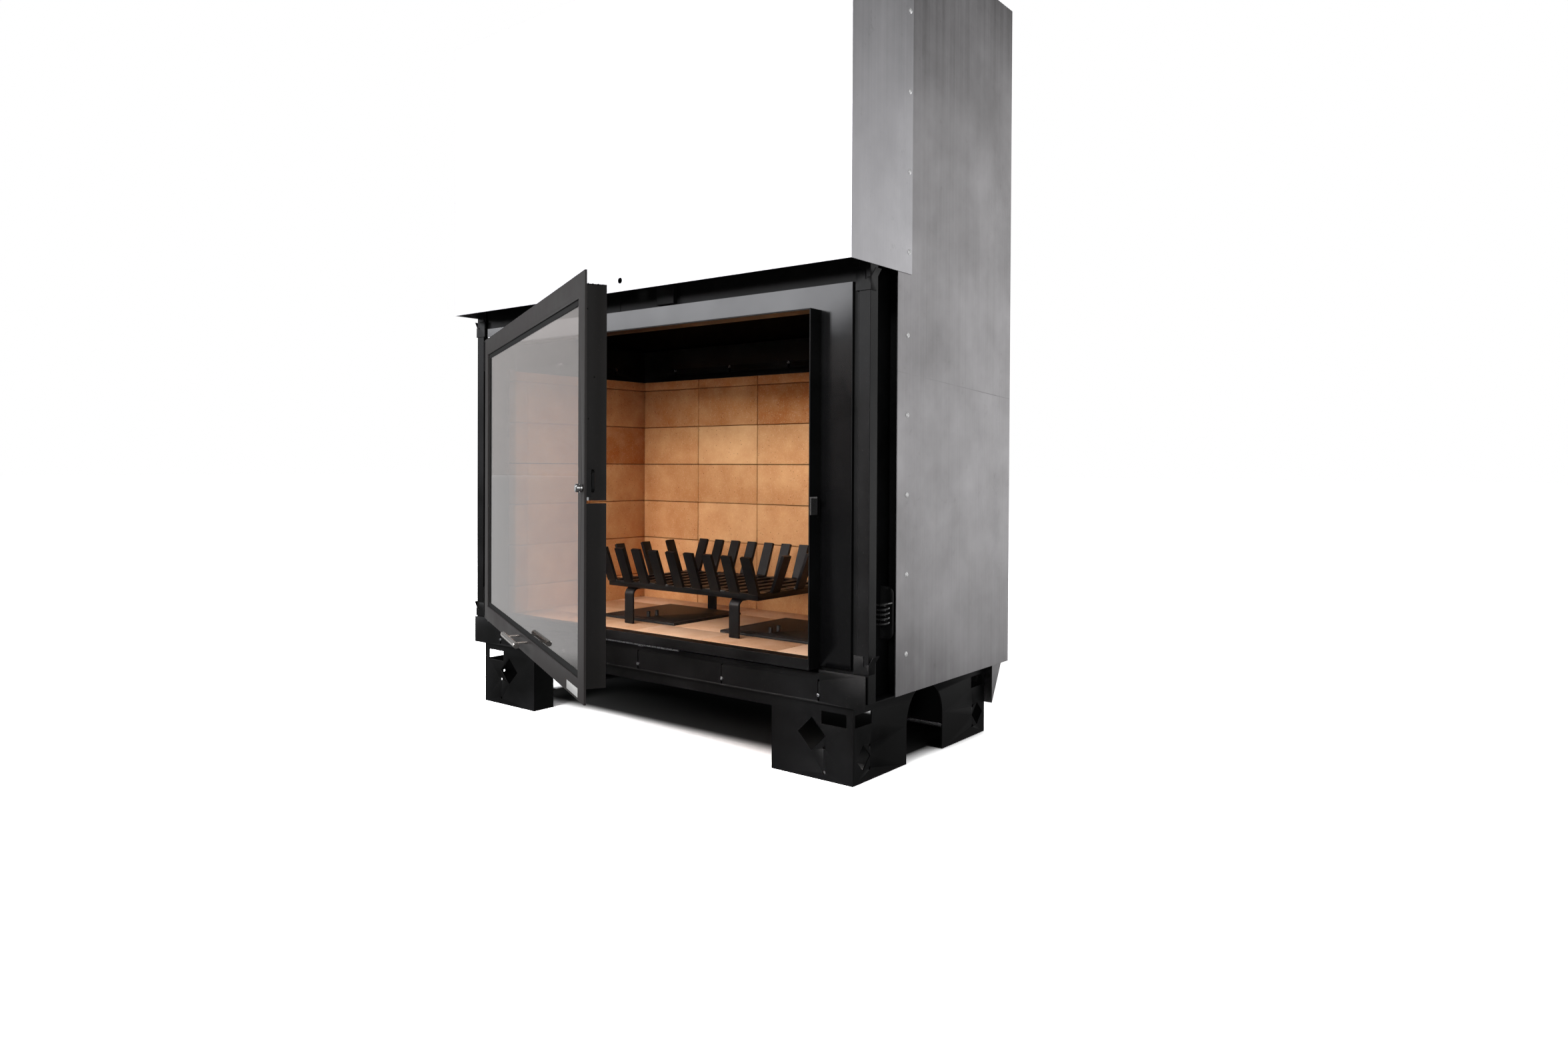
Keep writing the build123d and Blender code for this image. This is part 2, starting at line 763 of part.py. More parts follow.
clip_front = rail_front - clip_sheet
clip_outer = rail_outer + clip_sheet
with BuildPart() as rail_clips:
    for side in (-1, 1):
        for bottom, top in ((lower_clip_bottom, lower_clip_top), (upper_clip_bottom, upper_clip_top)):
            bend_level = top - clip_flare_height
            # front tab across the rail, parted from the corner by a notch
            with BuildSketch(upright(clip_front)):
                span(side * clip_inner, side * clip_outer, bottom, bend_level)
                span(side * clip_inner, side * (rail_outer - clip_notch_width), bend_level, top)
                notch = rail_outer - clip_notch_width
                span(side * notch, side * (notch - clip_notch_width / 2), top - clip_notch_depth, top,
                     mode=Mode.SUBTRACT)
            extrude(amount=-clip_sheet)
            # inner leg, welded to the front wall of the firebox
            with BuildSketch(upright(rail_front)):
                span(side * clip_inner, side * (clip_inner + clip_sheet), bottom, bend_level)
            extrude(amount=-(fascia_depth - rail_front))
            # outer leg, whose top flares outwards
            with BuildSketch(upright(rail_front)):
                with BuildLine():
                    Polyline((side * rail_outer, bottom), (side * rail_outer, bend_level),
                             (side * (rail_outer + clip_flare), top),
                             (side * (clip_outer + clip_flare), top),
                             (side * clip_outer, bend_level), (side * clip_outer, bottom), close=True)
                make_face()
            extrude(amount=-(clip_leg_back - rail_front))
save(rail_clips, "rail_clips")

carriage_bottom = door_bottom - arm_gap - arm_thickness
carriage_top = door_top + arm_gap + arm_thickness
carriage_outer = rail_outer - rail_sheet - panel_clearance
carriage_near = cable_front_behind - carriage_depth / 2
gusset_inner = gusset_outer - gusset_sheet
strap_front = rail_front + rail_sheet + moving_gap
strap_back = fascia_depth - moving_gap
clip_clear = lower_clip_top + moving_gap
with BuildPart() as carriage_left:
    with BuildSketch(level(carriage_bottom)):
        span(-carriage_outer, -carriage_outer + carriage_width,
             behind(carriage_near), behind(carriage_near + carriage_depth))
    extrude(amount=carriage_top - carriage_bottom)
    # straps through the slot, then gussets standing forwards beside the fascia
    for low, high in ((clip_clear, carriage_bottom + gusset_height),
                      (carriage_top - gusset_height, carriage_top)):
        with BuildSketch(level(low)):
            span(-carriage_outer + carriage_width, -gusset_inner, behind(strap_front), behind(strap_back))
        extrude(amount=high - low)
    arm_front = hinge_behind - arm_width / 2
    for low in (carriage_bottom, carriage_top - gusset_height):
        with BuildSketch(level(low)):
            span(-gusset_outer, -gusset_inner, behind(arm_front), behind(strap_back))
        extrude(amount=gusset_height)
    # arms over and under the door, which carry the hinge pins
    for low in (carriage_bottom, carriage_top - arm_thickness):
        with BuildSketch(level(low)):
            span(-gusset_inner, hinge_x, behind(arm_front), behind(arm_front + arm_width))
            with Locations((hinge_x, behind(hinge_behind))):
                Circle(arm_width / 2)
                Circle(hinge_pin_radius + pin_clearance, mode=Mode.SUBTRACT)
        extrude(amount=arm_thickness)
save(carriage_left, "carriage_left")

with BuildPart() as carriage_right:
    with BuildSketch(level(carriage_bottom)):
        span(carriage_outer, carriage_outer - carriage_width,
             behind(carriage_near), behind(carriage_near + carriage_depth))
    extrude(amount=carriage_top - carriage_bottom)
save(carriage_right, "carriage_right")

knuckle_low = door_bottom + hinge_knuckle_inset
knuckle_high = door_top - hinge_knuckle_inset
with BuildPart() as hinge_pins:
    for start, direction in ((carriage_bottom, 1), (carriage_top, -1)):
        with BuildSketch(level(start)):
            with Locations((hinge_x, behind(hinge_behind))):
                Circle(hinge_pin_radius)
        extrude(amount=direction * (arm_thickness + arm_gap + hinge_knuckle_inset + hinge_knuckle_height))
        with BuildSketch(level(start)):
            with Locations((hinge_x, behind(hinge_behind))):
                Circle(hinge_pin_head_radius)
        extrude(amount=-direction * cover_sheet)
save(hinge_pins, "hinge_pins")

carriage_x = carriage_outer - carriage_width / 2
cable_run = spring_behind - cable_front_behind
pulley_behind = cable_front_behind + cable_run / 2
pulley_groove = cable_run / 2 - cable_radius - pin_clearance
pulley_bore = pulley_axle_radius + pin_clearance
weight_near = spring_behind - counterweight_depth / 2
with BuildPart() as counterweights:
    with BuildSketch(level(counterweight_bottom)):
        for side in (-1, 1):
            span(side * (carriage_x - counterweight_width / 2), side * (carriage_x + counterweight_width / 2),
                 behind(weight_near), behind(weight_near + counterweight_depth))
    extrude(amount=counterweight_height)
    chamfer(counterweights.edges().filter_by(Axis.Z), counterweight_chamfer)
save(counterweights, "counterweights")

with BuildPart() as lift_cables:
    for side in (-1, 1):
        x = side * carriage_x
        near_y, far_y = behind(cable_front_behind), behind(spring_behind)
        with BuildLine():
            Line((x, near_y, carriage_top), (x, near_y, pulley_level))
            ThreePointArc((x, near_y, pulley_level), (x, behind(pulley_behind), pulley_level + cable_run / 2),
                          (x, far_y, pulley_level))
            Line((x, far_y, pulley_level), (x, far_y, counterweight_bottom + counterweight_height))
        with BuildSketch(Plane(origin=(x, near_y, carriage_top), z_dir=(0, 0, 1))):
            Circle(cable_radius)
        sweep()
save(lift_cables, "lift_cables")

with BuildPart() as lift_pulleys:
    for side in (-1, 1):
        with BuildSketch(Plane(origin=(side * carriage_x, behind(pulley_behind), pulley_level),
                               x_dir=(0, 0, 1), z_dir=(0, 1, 0))):
            half = pulley_width / 2
            with BuildLine():
                Polyline((pulley_bore, -half), (pulley_rim_radius, -half),
                         (pulley_groove, -cable_radius), (pulley_groove, cable_radius),
                         (pulley_rim_radius, half), (pulley_bore, half), close=True)
            make_face()
        revolve(axis=Axis((side * carriage_x, behind(pulley_behind), pulley_level), (1, 0, 0)))
save(lift_pulleys, "lift_pulleys")

hanger_x = carriage_x + pulley_width / 2
with BuildPart() as pulley_hangers:
    for side in (-1, 1):
        with BuildSketch(sideways(side * hanger_x)):
            with Locations((behind(pulley_behind), pulley_level)):
                Circle(hanger_radius)
            span(behind(pulley_behind) - hanger_radius, behind(pulley_behind) + hanger_radius,
                 pulley_level, body_top - cover_sheet)
        extrude(amount=side * retainer_sheet)
        with BuildSketch(sideways(side * hanger_x)):
            with Locations((behind(pulley_behind), pulley_level)):
                Circle(pulley_axle_radius)
        extrude(amount=-side * pulley_width)
save(pulley_hangers, "pulley_hangers")


def spring_point(angle):
    """Point on the axis of the wire at this turning angle."""
    return Vector(spring_coil_radius * math.cos(angle), spring_coil_radius * math.sin(angle),
                  spring_pitch * (angle - math.pi) / (2 * math.pi))


def spring_direction(angle):
    """Direction of the wire at this turning angle."""
    return Vector(-spring_coil_radius * math.sin(angle), spring_coil_radius * math.cos(angle),
                  spring_pitch / (2 * math.pi)).normalized()


def biarc_joint(start, start_direction, end, end_direction):
    """Middle point and its direction where two arcs from start to end share a tangent."""
    chord = end - start
    total = start_direction + end_direction
    a = total.dot(total) - 4
    b = -2 * chord.dot(total)
    c = chord.dot(chord)
    reach = (-b - math.sqrt(b * b - 4 * a * c)) / (2 * a)
    first = start + start_direction * reach
    second = end - end_direction * reach
    return (first + second) * 0.5, (second - first).normalized()


spring_lead = spring_coil_radius + spring_wire_radius + moving_gap
with BuildPart() as buffer_springs:
    for side in (-1, 1):
        centre = Vector(side * spring_centre_x, behind(spring_behind), spring_bottom)
        foot = centre + Vector(-spring_coil_radius, spring_lead, 0)
        with BuildLine():
            here = centre + Vector(-spring_coil_radius, 0, 0)
            heading = Vector(0, -1, 0)
            Line(foot, here)
            for quarter in range(2 * spring_half_turns):
                angle = math.pi + (quarter + 1) * math.pi / 2
                there = centre + spring_point(angle)
                last = quarter == 2 * spring_half_turns - 1
                arrival = Vector(0, 1, 0) if last else spring_direction(angle)
                joint, joint_heading = biarc_joint(here, heading, there, arrival)
                TangentArc(here, joint, tangent=heading)
                TangentArc(joint, there, tangent=joint_heading)
                here, heading = there, arrival
            Line(here, here + Vector(0, spring_lead, 0))
        with BuildSketch(Plane(origin=foot, z_dir=(0, -1, 0))):
            Circle(spring_wire_radius)
        sweep()
save(buffer_springs, "buffer_springs")

half_turn = 36
spring_samples = [spring_point(math.pi * (1 + step / half_turn)) for step in range(half_turn * spring_half_turns)]
least_gap = min((a - b).length for i, a in enumerate(spring_samples) for b in spring_samples[i + half_turn:])
print("least gap of a buffer spring to itself", round(least_gap - 2 * spring_wire_radius, 2), "mm")

bracket_front = spring_behind + spring_lead
with BuildPart() as buffer_brackets:
    for side in (-1, 1):
        with BuildSketch(upright(bracket_front)):
            span(side * steel_outer, side * spring_centre_x, bracket_bottom, bracket_top)
            with Locations((side * spring_centre_x, (bracket_bottom + bracket_top) / 2)):
                SlotOverall(bracket_top - bracket_bottom, bracket_width, rotation=90)
        extrude(amount=-bracket_sheet)
save(buffer_brackets, "buffer_brackets")

# ------------------------------------------------------------------------------------------
# Outer covers
# ------------------------------------------------------------------------------------------

with BuildPart() as side_panels:
    for side in (-1, 1):
        with BuildSketch(sideways(side * body_half_width)):
            span(behind(panel_front), behind(body_back), base_height, body_top)
        extrude(amount=side * cover_sheet)
save(side_panels, "side_panels")

with BuildPart() as back_panel:
    with BuildSketch(upright(body_back)):
        span(-body_half_width, body_half_width, deck_top, body_top)
    extrude(amount=cover_sheet)
save(back_panel, "back_panel")

with BuildPart() as upper_casing:
    with BuildSketch(level(casing_bottom)):
        span(-casing_outer, casing_outer, behind(-casing_front), behind(casing_return))
        span(-panel_outer, panel_outer, behind(-casing_front + cover_sheet), behind(casing_return),
             mode=Mode.SUBTRACT)
    extrude(amount=body_top - casing_bottom)
    with BuildSketch(upright(-casing_front)):
        with Locations((0, casing_hole_level)):
            Circle(casing_hole_radius)
    extrude(amount=-cover_sheet, mode=Mode.SUBTRACT)
save(upper_casing, "upper_casing")

with BuildPart() as top_panel:
    with BuildSketch(level(body_top)):
        span(-body_half_width, body_half_width, behind(-casing_front + cover_sheet), behind(body_back - cover_sheet))
        with Locations((0, behind(flue_behind))):
            Circle(flue_radius + panel_clearance, mode=Mode.SUBTRACT)
    extrude(amount=-cover_sheet)
save(top_panel, "top_panel")

rivet_dome = (rivet_radius ** 2 + rivet_height ** 2) / (2 * rivet_height)
with BuildPart() as cover_rivets:
    for side in (-1, 1):
        for surface, y, first, count in (
            (panel_outer, behind(panel_rivet_behind), panel_rivet_level, panel_rivet_count),
            (casing_outer, behind(panel_rivet_behind), casing_rivet_level, casing_rivet_count),
        ):
            for row in range(count):
                foot = (side * surface, y, first + row * rivet_pitch)
                with BuildSketch(Plane(origin=foot, x_dir=(0, 0, 1), z_dir=(0, side, 0))):
                    with BuildLine():
                        Line((0, 0), (rivet_radius, 0))
                        RadiusArc((rivet_radius, 0), (0, rivet_height), -rivet_dome)
                        Line((0, rivet_height), (0, 0))
                    make_face()
                revolve(axis=Axis(foot, (1, 0, 0)))
save(cover_rivets, "cover_rivets")

# ------------------------------------------------------------------------------------------
# Ash openings: cast frames with a rebate, lids that lift off, and the pits below
# ------------------------------------------------------------------------------------------

frame_top = chamber_floor + ash_frame_rise
rebate_floor = frame_top - ash_lid_thickness
ash_places = [(side * ash_centre_x, behind(ash_centre_behind)) for side in (-1, 1)]
with BuildPart() as ash_frames:
    with BuildSketch(level(steel_floor)):
        with Locations(*ash_places):
            Rectangle(ash_frame_size, ash_frame_size)
            Rectangle(ash_opening_size, ash_opening_size, mode=Mode.SUBTRACT)
    extrude(amount=frame_top - steel_floor)
    with BuildSketch(level(frame_top)):
        with Locations(*ash_places):
            Rectangle(ash_rebate_size, ash_rebate_size)
    extrude(amount=-ash_lid_thickness, mode=Mode.SUBTRACT)
    chamfer(ash_frames.faces().group_by(Axis.Z)[-1].edges(), ash_frame_chamfer)
save(ash_frames, "ash_frames")

for side, name in ((-1, "ash_lid_left"), (1, "ash_lid_right")):
    with BuildPart() as ash_lid:
        with BuildSketch(level(rebate_floor + moving_gap)):
            with Locations((side * ash_centre_x, behind(ash_centre_behind))):
                Rectangle(ash_rebate_size - 2 * moving_gap, ash_rebate_size - 2 * moving_gap)
        extrude(amount=ash_lid_thickness)
        with BuildSketch(level(frame_top + moving_gap)):
            with Locations(*((side * ash_peg_x, behind(ash_peg_behind) + end * ash_peg_spacing / 2)
                             for end in (-1, 1))):
                Circle(ash_peg_radius)
        extrude(amount=ash_peg_height)
        chamfer(ash_lid.faces().group_by(Axis.Z)[-1].edges(), ash_peg_chamfer)
    save(ash_lid, name)

with BuildPart() as ash_pits:
    with BuildSketch(level(ash_pit_bottom)):
        with Locations(*ash_places):
            Rectangle(ash_pit_size, ash_pit_size)
    extrude(amount=steel_floor - body_plate - ash_pit_bottom)
    with BuildSketch(level(ash_pit_bottom + ash_pit_sheet)):
        with Locations(*ash_places):
            Rectangle(ash_pit_size - 2 * ash_pit_sheet, ash_pit_size - 2 * ash_pit_sheet)
    extrude(amount=steel_floor - body_plate - ash_pit_bottom - ash_pit_sheet, mode=Mode.SUBTRACT)
save(ash_pits, "ash_pits")

# ------------------------------------------------------------------------------------------
# Log basket: frame, grate bars and leaning fingers in one welded piece, on two bent legs
# ------------------------------------------------------------------------------------------

basket_left = basket_centre_x - basket_length / 2
basket_right = basket_centre_x + basket_length / 2
grate_middle = (grate_bar_count - 1) / 2
finger_middle = (finger_count - 1) / 2
bar_line = grate_top - finger_thickness


def finger_section(edge, outward):
    """Side view of a finger that lies on the frame, bends up at the edge and leans outwards."""
    points = ((edge - outward * finger_foot, bar_line), (edge, bar_line),
              (edge + outward * finger_reach, finger_top))
    bent_bar(points, finger_thickness, finger_bend, Side.LEFT if outward > 0 else Side.RIGHT)


with BuildPart() as log_basket:
    with BuildSketch(level(basket_bottom)):
        span(basket_left, basket_right, behind(basket_front), behind(basket_back))
        span(basket_left + basket_frame_bar, basket_right - basket_frame_bar,
             behind(basket_front + basket_frame_bar), behind(basket_back - basket_frame_bar),
             mode=Mode.SUBTRACT)
    extrude(amount=basket_frame_height)
    with BuildSketch(level(grate_top)):
        for bar in range(grate_bar_count):
            x = basket_centre_x + (bar - grate_middle) * grate_bar_pitch
            span(x - grate_bar_width / 2, x + grate_bar_width / 2, behind(basket_front), behind(basket_back))
    extrude(amount=-grate_bar_thickness)
    for edge, outward in ((basket_front, -1), (basket_back, 1)):
        for finger in range(finger_count):
            x = basket_centre_x + (finger - finger_middle) * finger_pitch
            with BuildSketch(sideways(x - finger_width / 2)):
                finger_section(behind(edge), outward)
            extrude(amount=finger_width)
    for edge, outward in ((basket_left, -1), (basket_right, 1)):
        for distance in end_finger_behind:
            with BuildSketch(upright(distance - finger_width / 2)):
                finger_section(edge, outward)
            extrude(amount=-finger_width)
save(log_basket, "log_basket")

with BuildPart() as basket_legs:
    for side in (-1, 1):
        with BuildSketch(sideways(basket_centre_x + side * leg_offset - leg_width / 2)):
            bent_bar(((behind(basket_front), chamber_floor + moving_gap), (behind(basket_front), basket_bottom),
                      (behind(basket_back), basket_bottom), (behind(basket_back), chamber_floor + moving_gap)),
                     leg_thickness, leg_bend, Side.RIGHT)
        extrude(amount=leg_width)
save(basket_legs, "basket_legs")

# ------------------------------------------------------------------------------------------
# Slide of the combustion air, under the mouth collar
# ------------------------------------------------------------------------------------------

slide_top = mouth_bottom - moving_gap
with BuildPart() as air_slide:
    with BuildSketch(level(slide_top)):
        span(-slide_length / 2, slide_length / 2, behind(-mouth_reach), behind(-mouth_reach + slide_width))
        span(slide_tab_x - slide_tab_width / 2, slide_tab_x + slide_tab_width / 2,
             behind(-mouth_reach - slide_tab_reach), behind(-mouth_reach))
    extrude(amount=-slide_thickness)
    fillet(air_slide.faces().sort_by(Axis.Y)[0].edges().filter_by(Axis.Z), slide_tab_corner)
save(air_slide, "air_slide")

# two folded guides hang under the collar and carry the slide
guide_near = -mouth_reach + slide_width + moving_gap
guide_floor = slide_top - slide_thickness - moving_gap
with BuildPart() as slide_guides:
    for x in (-slide_guide_x, slide_guide_x):
        with BuildSketch(sideways(x - slide_guide_width / 2)):
            span(behind(guide_near), behind(guide_near + cover_sheet), guide_floor - cover_sheet, mouth_bottom)
            span(behind(-mouth_reach), behind(guide_near), guide_floor - cover_sheet, guide_floor)
        extrude(amount=slide_guide_width)
save(slide_guides, "slide_guides")

# ------------------------------------------------------------------------------------------
# Door, built where it stands when swung open
# ------------------------------------------------------------------------------------------

opening = math.radians(door_opening_angle)
along = Vector(math.cos(opening), -math.sin(opening), 0)
inwards = Vector(math.sin(opening), math.cos(opening), 0)
hinge_axis = Vector(hinge_x, behind(hinge_behind), 0)


def door_face(depth):
    """Plane along the door seen from its front, this far behind the hinge axis."""
    return Plane(origin=hinge_axis + inwards * depth, x_dir=along, z_dir=inwards * -1)


def door_section(reach):
    """Plane across the door at this distance from the hinge axis: depth across, Z up."""
    return Plane(origin=hinge_axis + along * reach, x_dir=inwards, z_dir=along)


def door_level(z):
    """Plane seen from above: along the door, then depth."""
    return Plane(origin=hinge_axis + Vector(0, 0, z), x_dir=along, z_dir=(0, 0, 1))


window_left = window_side_border - door_overhang
window_right = door_reach - window_side_border
window_bottom = door_bottom + window_bottom_border
window_top = door_top - window_top_border
plate_back = door_plate - door_front_depth
flange_at = door_reach - flange_from_edge
latch_at = door_reach - latch_from_edge
latch_depth = -mouth_reach + strike_plate + strike_lever_gap - hinge_behind

with BuildPart() as door_frame:
    with BuildSketch(door_face(-door_front_depth)):
        span(-door_overhang, door_reach, door_bottom, door_top)
        span(window_left, window_right, window_bottom, window_top, mode=Mode.SUBTRACT)
        with Locations((latch_at, latch_level)):
            Circle(latch_shaft_radius + pin_clearance, mode=Mode.SUBTRACT)
    extrude(amount=-door_plate)
    with BuildSketch(door_face(-door_front_depth)):
        span(window_left - window_chamfer, window_right + window_chamfer,
             window_bottom - window_chamfer, window_top + window_chamfer)
    extrude(amount=-window_chamfer, taper=45, mode=Mode.SUBTRACT)
    # flange on the free side, open where the strike passes and where the latch lever turns
    with BuildSketch(door_section(flange_at)):
        span(plate_back, plate_back + flange_depth, door_bottom + flange_inset_bottom, door_top - flange_inset_top)
        span(plate_back, plate_back + flange_depth, strike_bottom - strike_notch_margin,
             strike_bottom + strike_height + strike_notch_margin, mode=Mode.SUBTRACT)
        span(latch_depth - lever_gap, latch_depth + lever_thickness + lever_gap, strike_bottom + strike_height,
             latch_level + lever_tail + panel_clearance, mode=Mode.SUBTRACT)
    extrude(amount=-flange_sheet)
    # knuckles on the back of the plate, one near each end of the hinge side
    for low in (knuckle_low, knuckle_high - hinge_knuckle_height):
        with BuildSketch(door_level(low)):
            Circle(hinge_knuckle_radius)
            span(-hinge_web_half_width, hinge_web_half_width, plate_back, 0)
            Circle(hinge_pin_radius + pin_clearance, mode=Mode.SUBTRACT)
        extrude(amount=hinge_knuckle_height)
save(door_frame, "door_frame")

seat_left = window_left - gasket_seat
seat_right = window_right + gasket_seat
seat_bottom = window_bottom - gasket_seat
seat_top = window_top + gasket_seat
with BuildPart() as glass_gasket:
    with BuildSketch(door_face(plate_back)):
        span(seat_left, seat_right, seat_bottom, seat_top)
        span(window_left + gasket_band, window_right - gasket_band,
             window_bottom + gasket_band, window_top - gasket_band, mode=Mode.SUBTRACT)
    extrude(amount=-gasket_thickness)
save(glass_gasket, "glass_gasket")

with BuildPart() as door_glass:
    with BuildSketch(door_face(plate_back + gasket_thickness)):
        span(seat_left, seat_right, seat_bottom, seat_top)
    extrude(amount=-glass_thickness)
save(door_glass, "door_glass")

glass_back = plate_back + gasket_thickness + glass_thickness
ring = retainer_ring_wall
with BuildPart() as glass_retainer:
    with BuildSketch(door_face(plate_back)):
        span(seat_left - ring, seat_right + ring, seat_bottom - ring, seat_top + ring)
        span(seat_left, seat_right, seat_bottom, seat_top, mode=Mode.SUBTRACT)
    extrude(amount=-(glass_back - plate_back))
    with BuildSketch(door_face(glass_back)):
        span(seat_left - ring, seat_right + ring, seat_bottom - ring, seat_top + ring)
        lip = retainer_ring_lip - ring
        span(seat_left + lip, seat_right - lip, seat_bottom + lip, seat_top - lip, mode=Mode.SUBTRACT)
    extrude(amount=-retainer_ring_sheet)
save(glass_retainer, "glass_retainer")

door_middle = (door_reach - door_overhang) / 2
handle_depth = -door_front_depth - handle_stand_off
with BuildPart() as door_handle:
    with BuildSketch(door_section(door_middle - handle_length / 2)):
        with Locations((handle_depth, handle_level)):
            Circle(handle_radius)
    extrude(amount=handle_length)
    chamfer(door_handle.edges().filter_by(GeomType.CIRCLE), handle_chamfer)
    with BuildSketch(door_face(-door_front_depth)):
        with Locations((door_middle - handle_post_spacing / 2, handle_level),
                       (door_middle + handle_post_spacing / 2, handle_level)):
            Circle(handle_post_radius)
    extrude(amount=handle_stand_off)
save(door_handle, "door_handle")

with BuildPart() as latch_spindle:
    with BuildSketch(door_face(-door_front_depth - moving_gap)):
        with Locations((latch_at, latch_level)):
            Circle(latch_head_radius)
    extrude(amount=latch_head_height)
    chamfer(latch_spindle.edges().filter_by(GeomType.CIRCLE), latch_head_chamfer)
    with BuildSketch(door_face(-door_front_depth - moving_gap)):
        with Locations((latch_at, latch_level)):
            Circle(latch_shaft_radius)
    extrude(amount=-(latch_depth + door_front_depth + moving_gap))
save(latch_spindle, "latch_spindle")

with BuildPart() as latch_lever:
    with BuildSketch(door_face(latch_depth)):
        with Locations((latch_at, latch_level + (lever_reach - lever_tail) / 2)):
            SlotOverall(lever_reach + lever_tail, 2 * lever_half_width, rotation=90)
    extrude(amount=-lever_thickness)
save(latch_lever, "latch_lever")
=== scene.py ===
"""Fireplace insert with its glazed door swung open, dressed for a studio picture.

All lengths in this file are in metres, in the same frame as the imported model: X runs to the
right as seen from the front, Y to the back and Z up from the floor.
"""

import json
import logging
import math
import random
from dataclasses import dataclass, field
from enum import Enum
from typing import Callable, Iterable, Sequence

import bmesh
import bpy
from mathutils import Matrix, Vector

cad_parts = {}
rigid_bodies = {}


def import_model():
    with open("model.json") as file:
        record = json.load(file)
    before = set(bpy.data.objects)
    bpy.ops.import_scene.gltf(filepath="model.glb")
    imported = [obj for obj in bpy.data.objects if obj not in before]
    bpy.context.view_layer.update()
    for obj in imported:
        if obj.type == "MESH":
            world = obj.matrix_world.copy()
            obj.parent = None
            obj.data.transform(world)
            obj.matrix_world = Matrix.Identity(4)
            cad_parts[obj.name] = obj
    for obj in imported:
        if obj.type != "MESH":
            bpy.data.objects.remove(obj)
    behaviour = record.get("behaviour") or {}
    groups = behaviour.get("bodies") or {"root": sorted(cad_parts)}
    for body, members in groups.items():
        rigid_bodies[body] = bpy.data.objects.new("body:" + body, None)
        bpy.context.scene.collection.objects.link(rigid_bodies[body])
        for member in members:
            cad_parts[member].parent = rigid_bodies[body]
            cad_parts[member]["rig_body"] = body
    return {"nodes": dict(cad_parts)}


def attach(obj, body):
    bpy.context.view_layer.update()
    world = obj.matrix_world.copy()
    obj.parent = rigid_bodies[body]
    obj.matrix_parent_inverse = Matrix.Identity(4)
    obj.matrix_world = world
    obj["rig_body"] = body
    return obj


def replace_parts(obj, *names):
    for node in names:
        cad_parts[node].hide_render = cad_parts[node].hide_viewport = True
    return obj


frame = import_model()

log = logging.getLogger("fireplace")
MM = 0.001
# Slack when the corners of a part are picked out by their place.
NEAR = 0.1 * MM
UP = Vector((0, 0, 1))
# Edges that turn by more than this stay crisp in the shading, and by more than CORNER are broken.
SHARP = math.radians(30)
CORNER = math.radians(40)
# Faces that turn by less than this are one face, and corners nearer than this are one corner.
FLAT = math.radians(0.6)
WELD = 0.005 * MM
# Where a turned profile starts or ends on its axis, points nearer than this are one pole.
POLE = 0.01 * MM
Colour = tuple[float, float, float, float]
Spot = tuple[float, float, float]


class Edge(Enum):
    """How wide the sharp edges of a part are broken, by how they were made."""

    DEBURRED = 0.35 * MM
    FILED = 0.5 * MM
    FOLDED = 0.6 * MM
    ROLLED_BAR = 1.2 * MM


def colour(hex_value: str) -> Colour:
    """Turns an sRGB hex value into the linear colour that a shader takes.

    Args:
        hex_value: six hex digits, red first.

    Returns:
        Linear red, green, blue and an alpha of one.
    """
    channels = [int(hex_value[i:i + 2], 16) / 255 for i in (0, 2, 4)]
    red, green, blue = (c / 12.92 if c <= 0.04045 else ((c + 0.055) / 1.055) ** 2.4 for c in channels)
    return red, green, blue, 1.0


def per_mm(size: float) -> float:
    """Scale of a pattern on Object coordinates whose features are this many millimetres."""
    return 1 / (size * MM)


def add_node(tree: bpy.types.NodeTree, kind: str, settings: dict | None = None,
             inputs: dict | None = None) -> bpy.types.Node:
    """Adds a node, sets its properties and sockets, and links what feeds it.

    Args:
        tree: the node tree that it goes into.
        kind: Blender's name for the type of node.
        settings: properties of the node.
        inputs: values or sockets by input name or number.

    Returns:
        The new node.
    """
    node = tree.nodes.new(kind)
    for key, value in (settings or {}).items():
        setattr(node, key, value)
    for key, value in (inputs or {}).items():
        if isinstance(value, bpy.types.NodeSocket):
            tree.links.new(value, node.inputs[key])
        else:
            node.inputs[key].default_value = value
    return node


# ------------------------------------------------------------------------------------------
# Finishes
# ------------------------------------------------------------------------------------------


@dataclass(frozen=True)
class Finish:
    """A surface finish. Each kind says in shader() how it meets the light."""

    name: str
    slot: str

    def shader(self, tree: bpy.types.NodeTree) -> bpy.types.NodeSocket:
        """Builds the nodes of this finish and returns the socket of its shader."""
        raise NotImplementedError

    def material(self) -> bpy.types.Material:
        """Makes the finish's material, or finds it where it is already made.

        Returns:
            The material.
        """
        made = bpy.data.materials.get(self.name)
        if made:
            return made
        made = bpy.data.materials.new(self.name)
        made.use_nodes = True
        made.node_tree.nodes.clear()
        surface = self.shader(made.node_tree)
        add_node(made.node_tree, "ShaderNodeOutputMaterial", inputs={"Surface": surface})
        return made


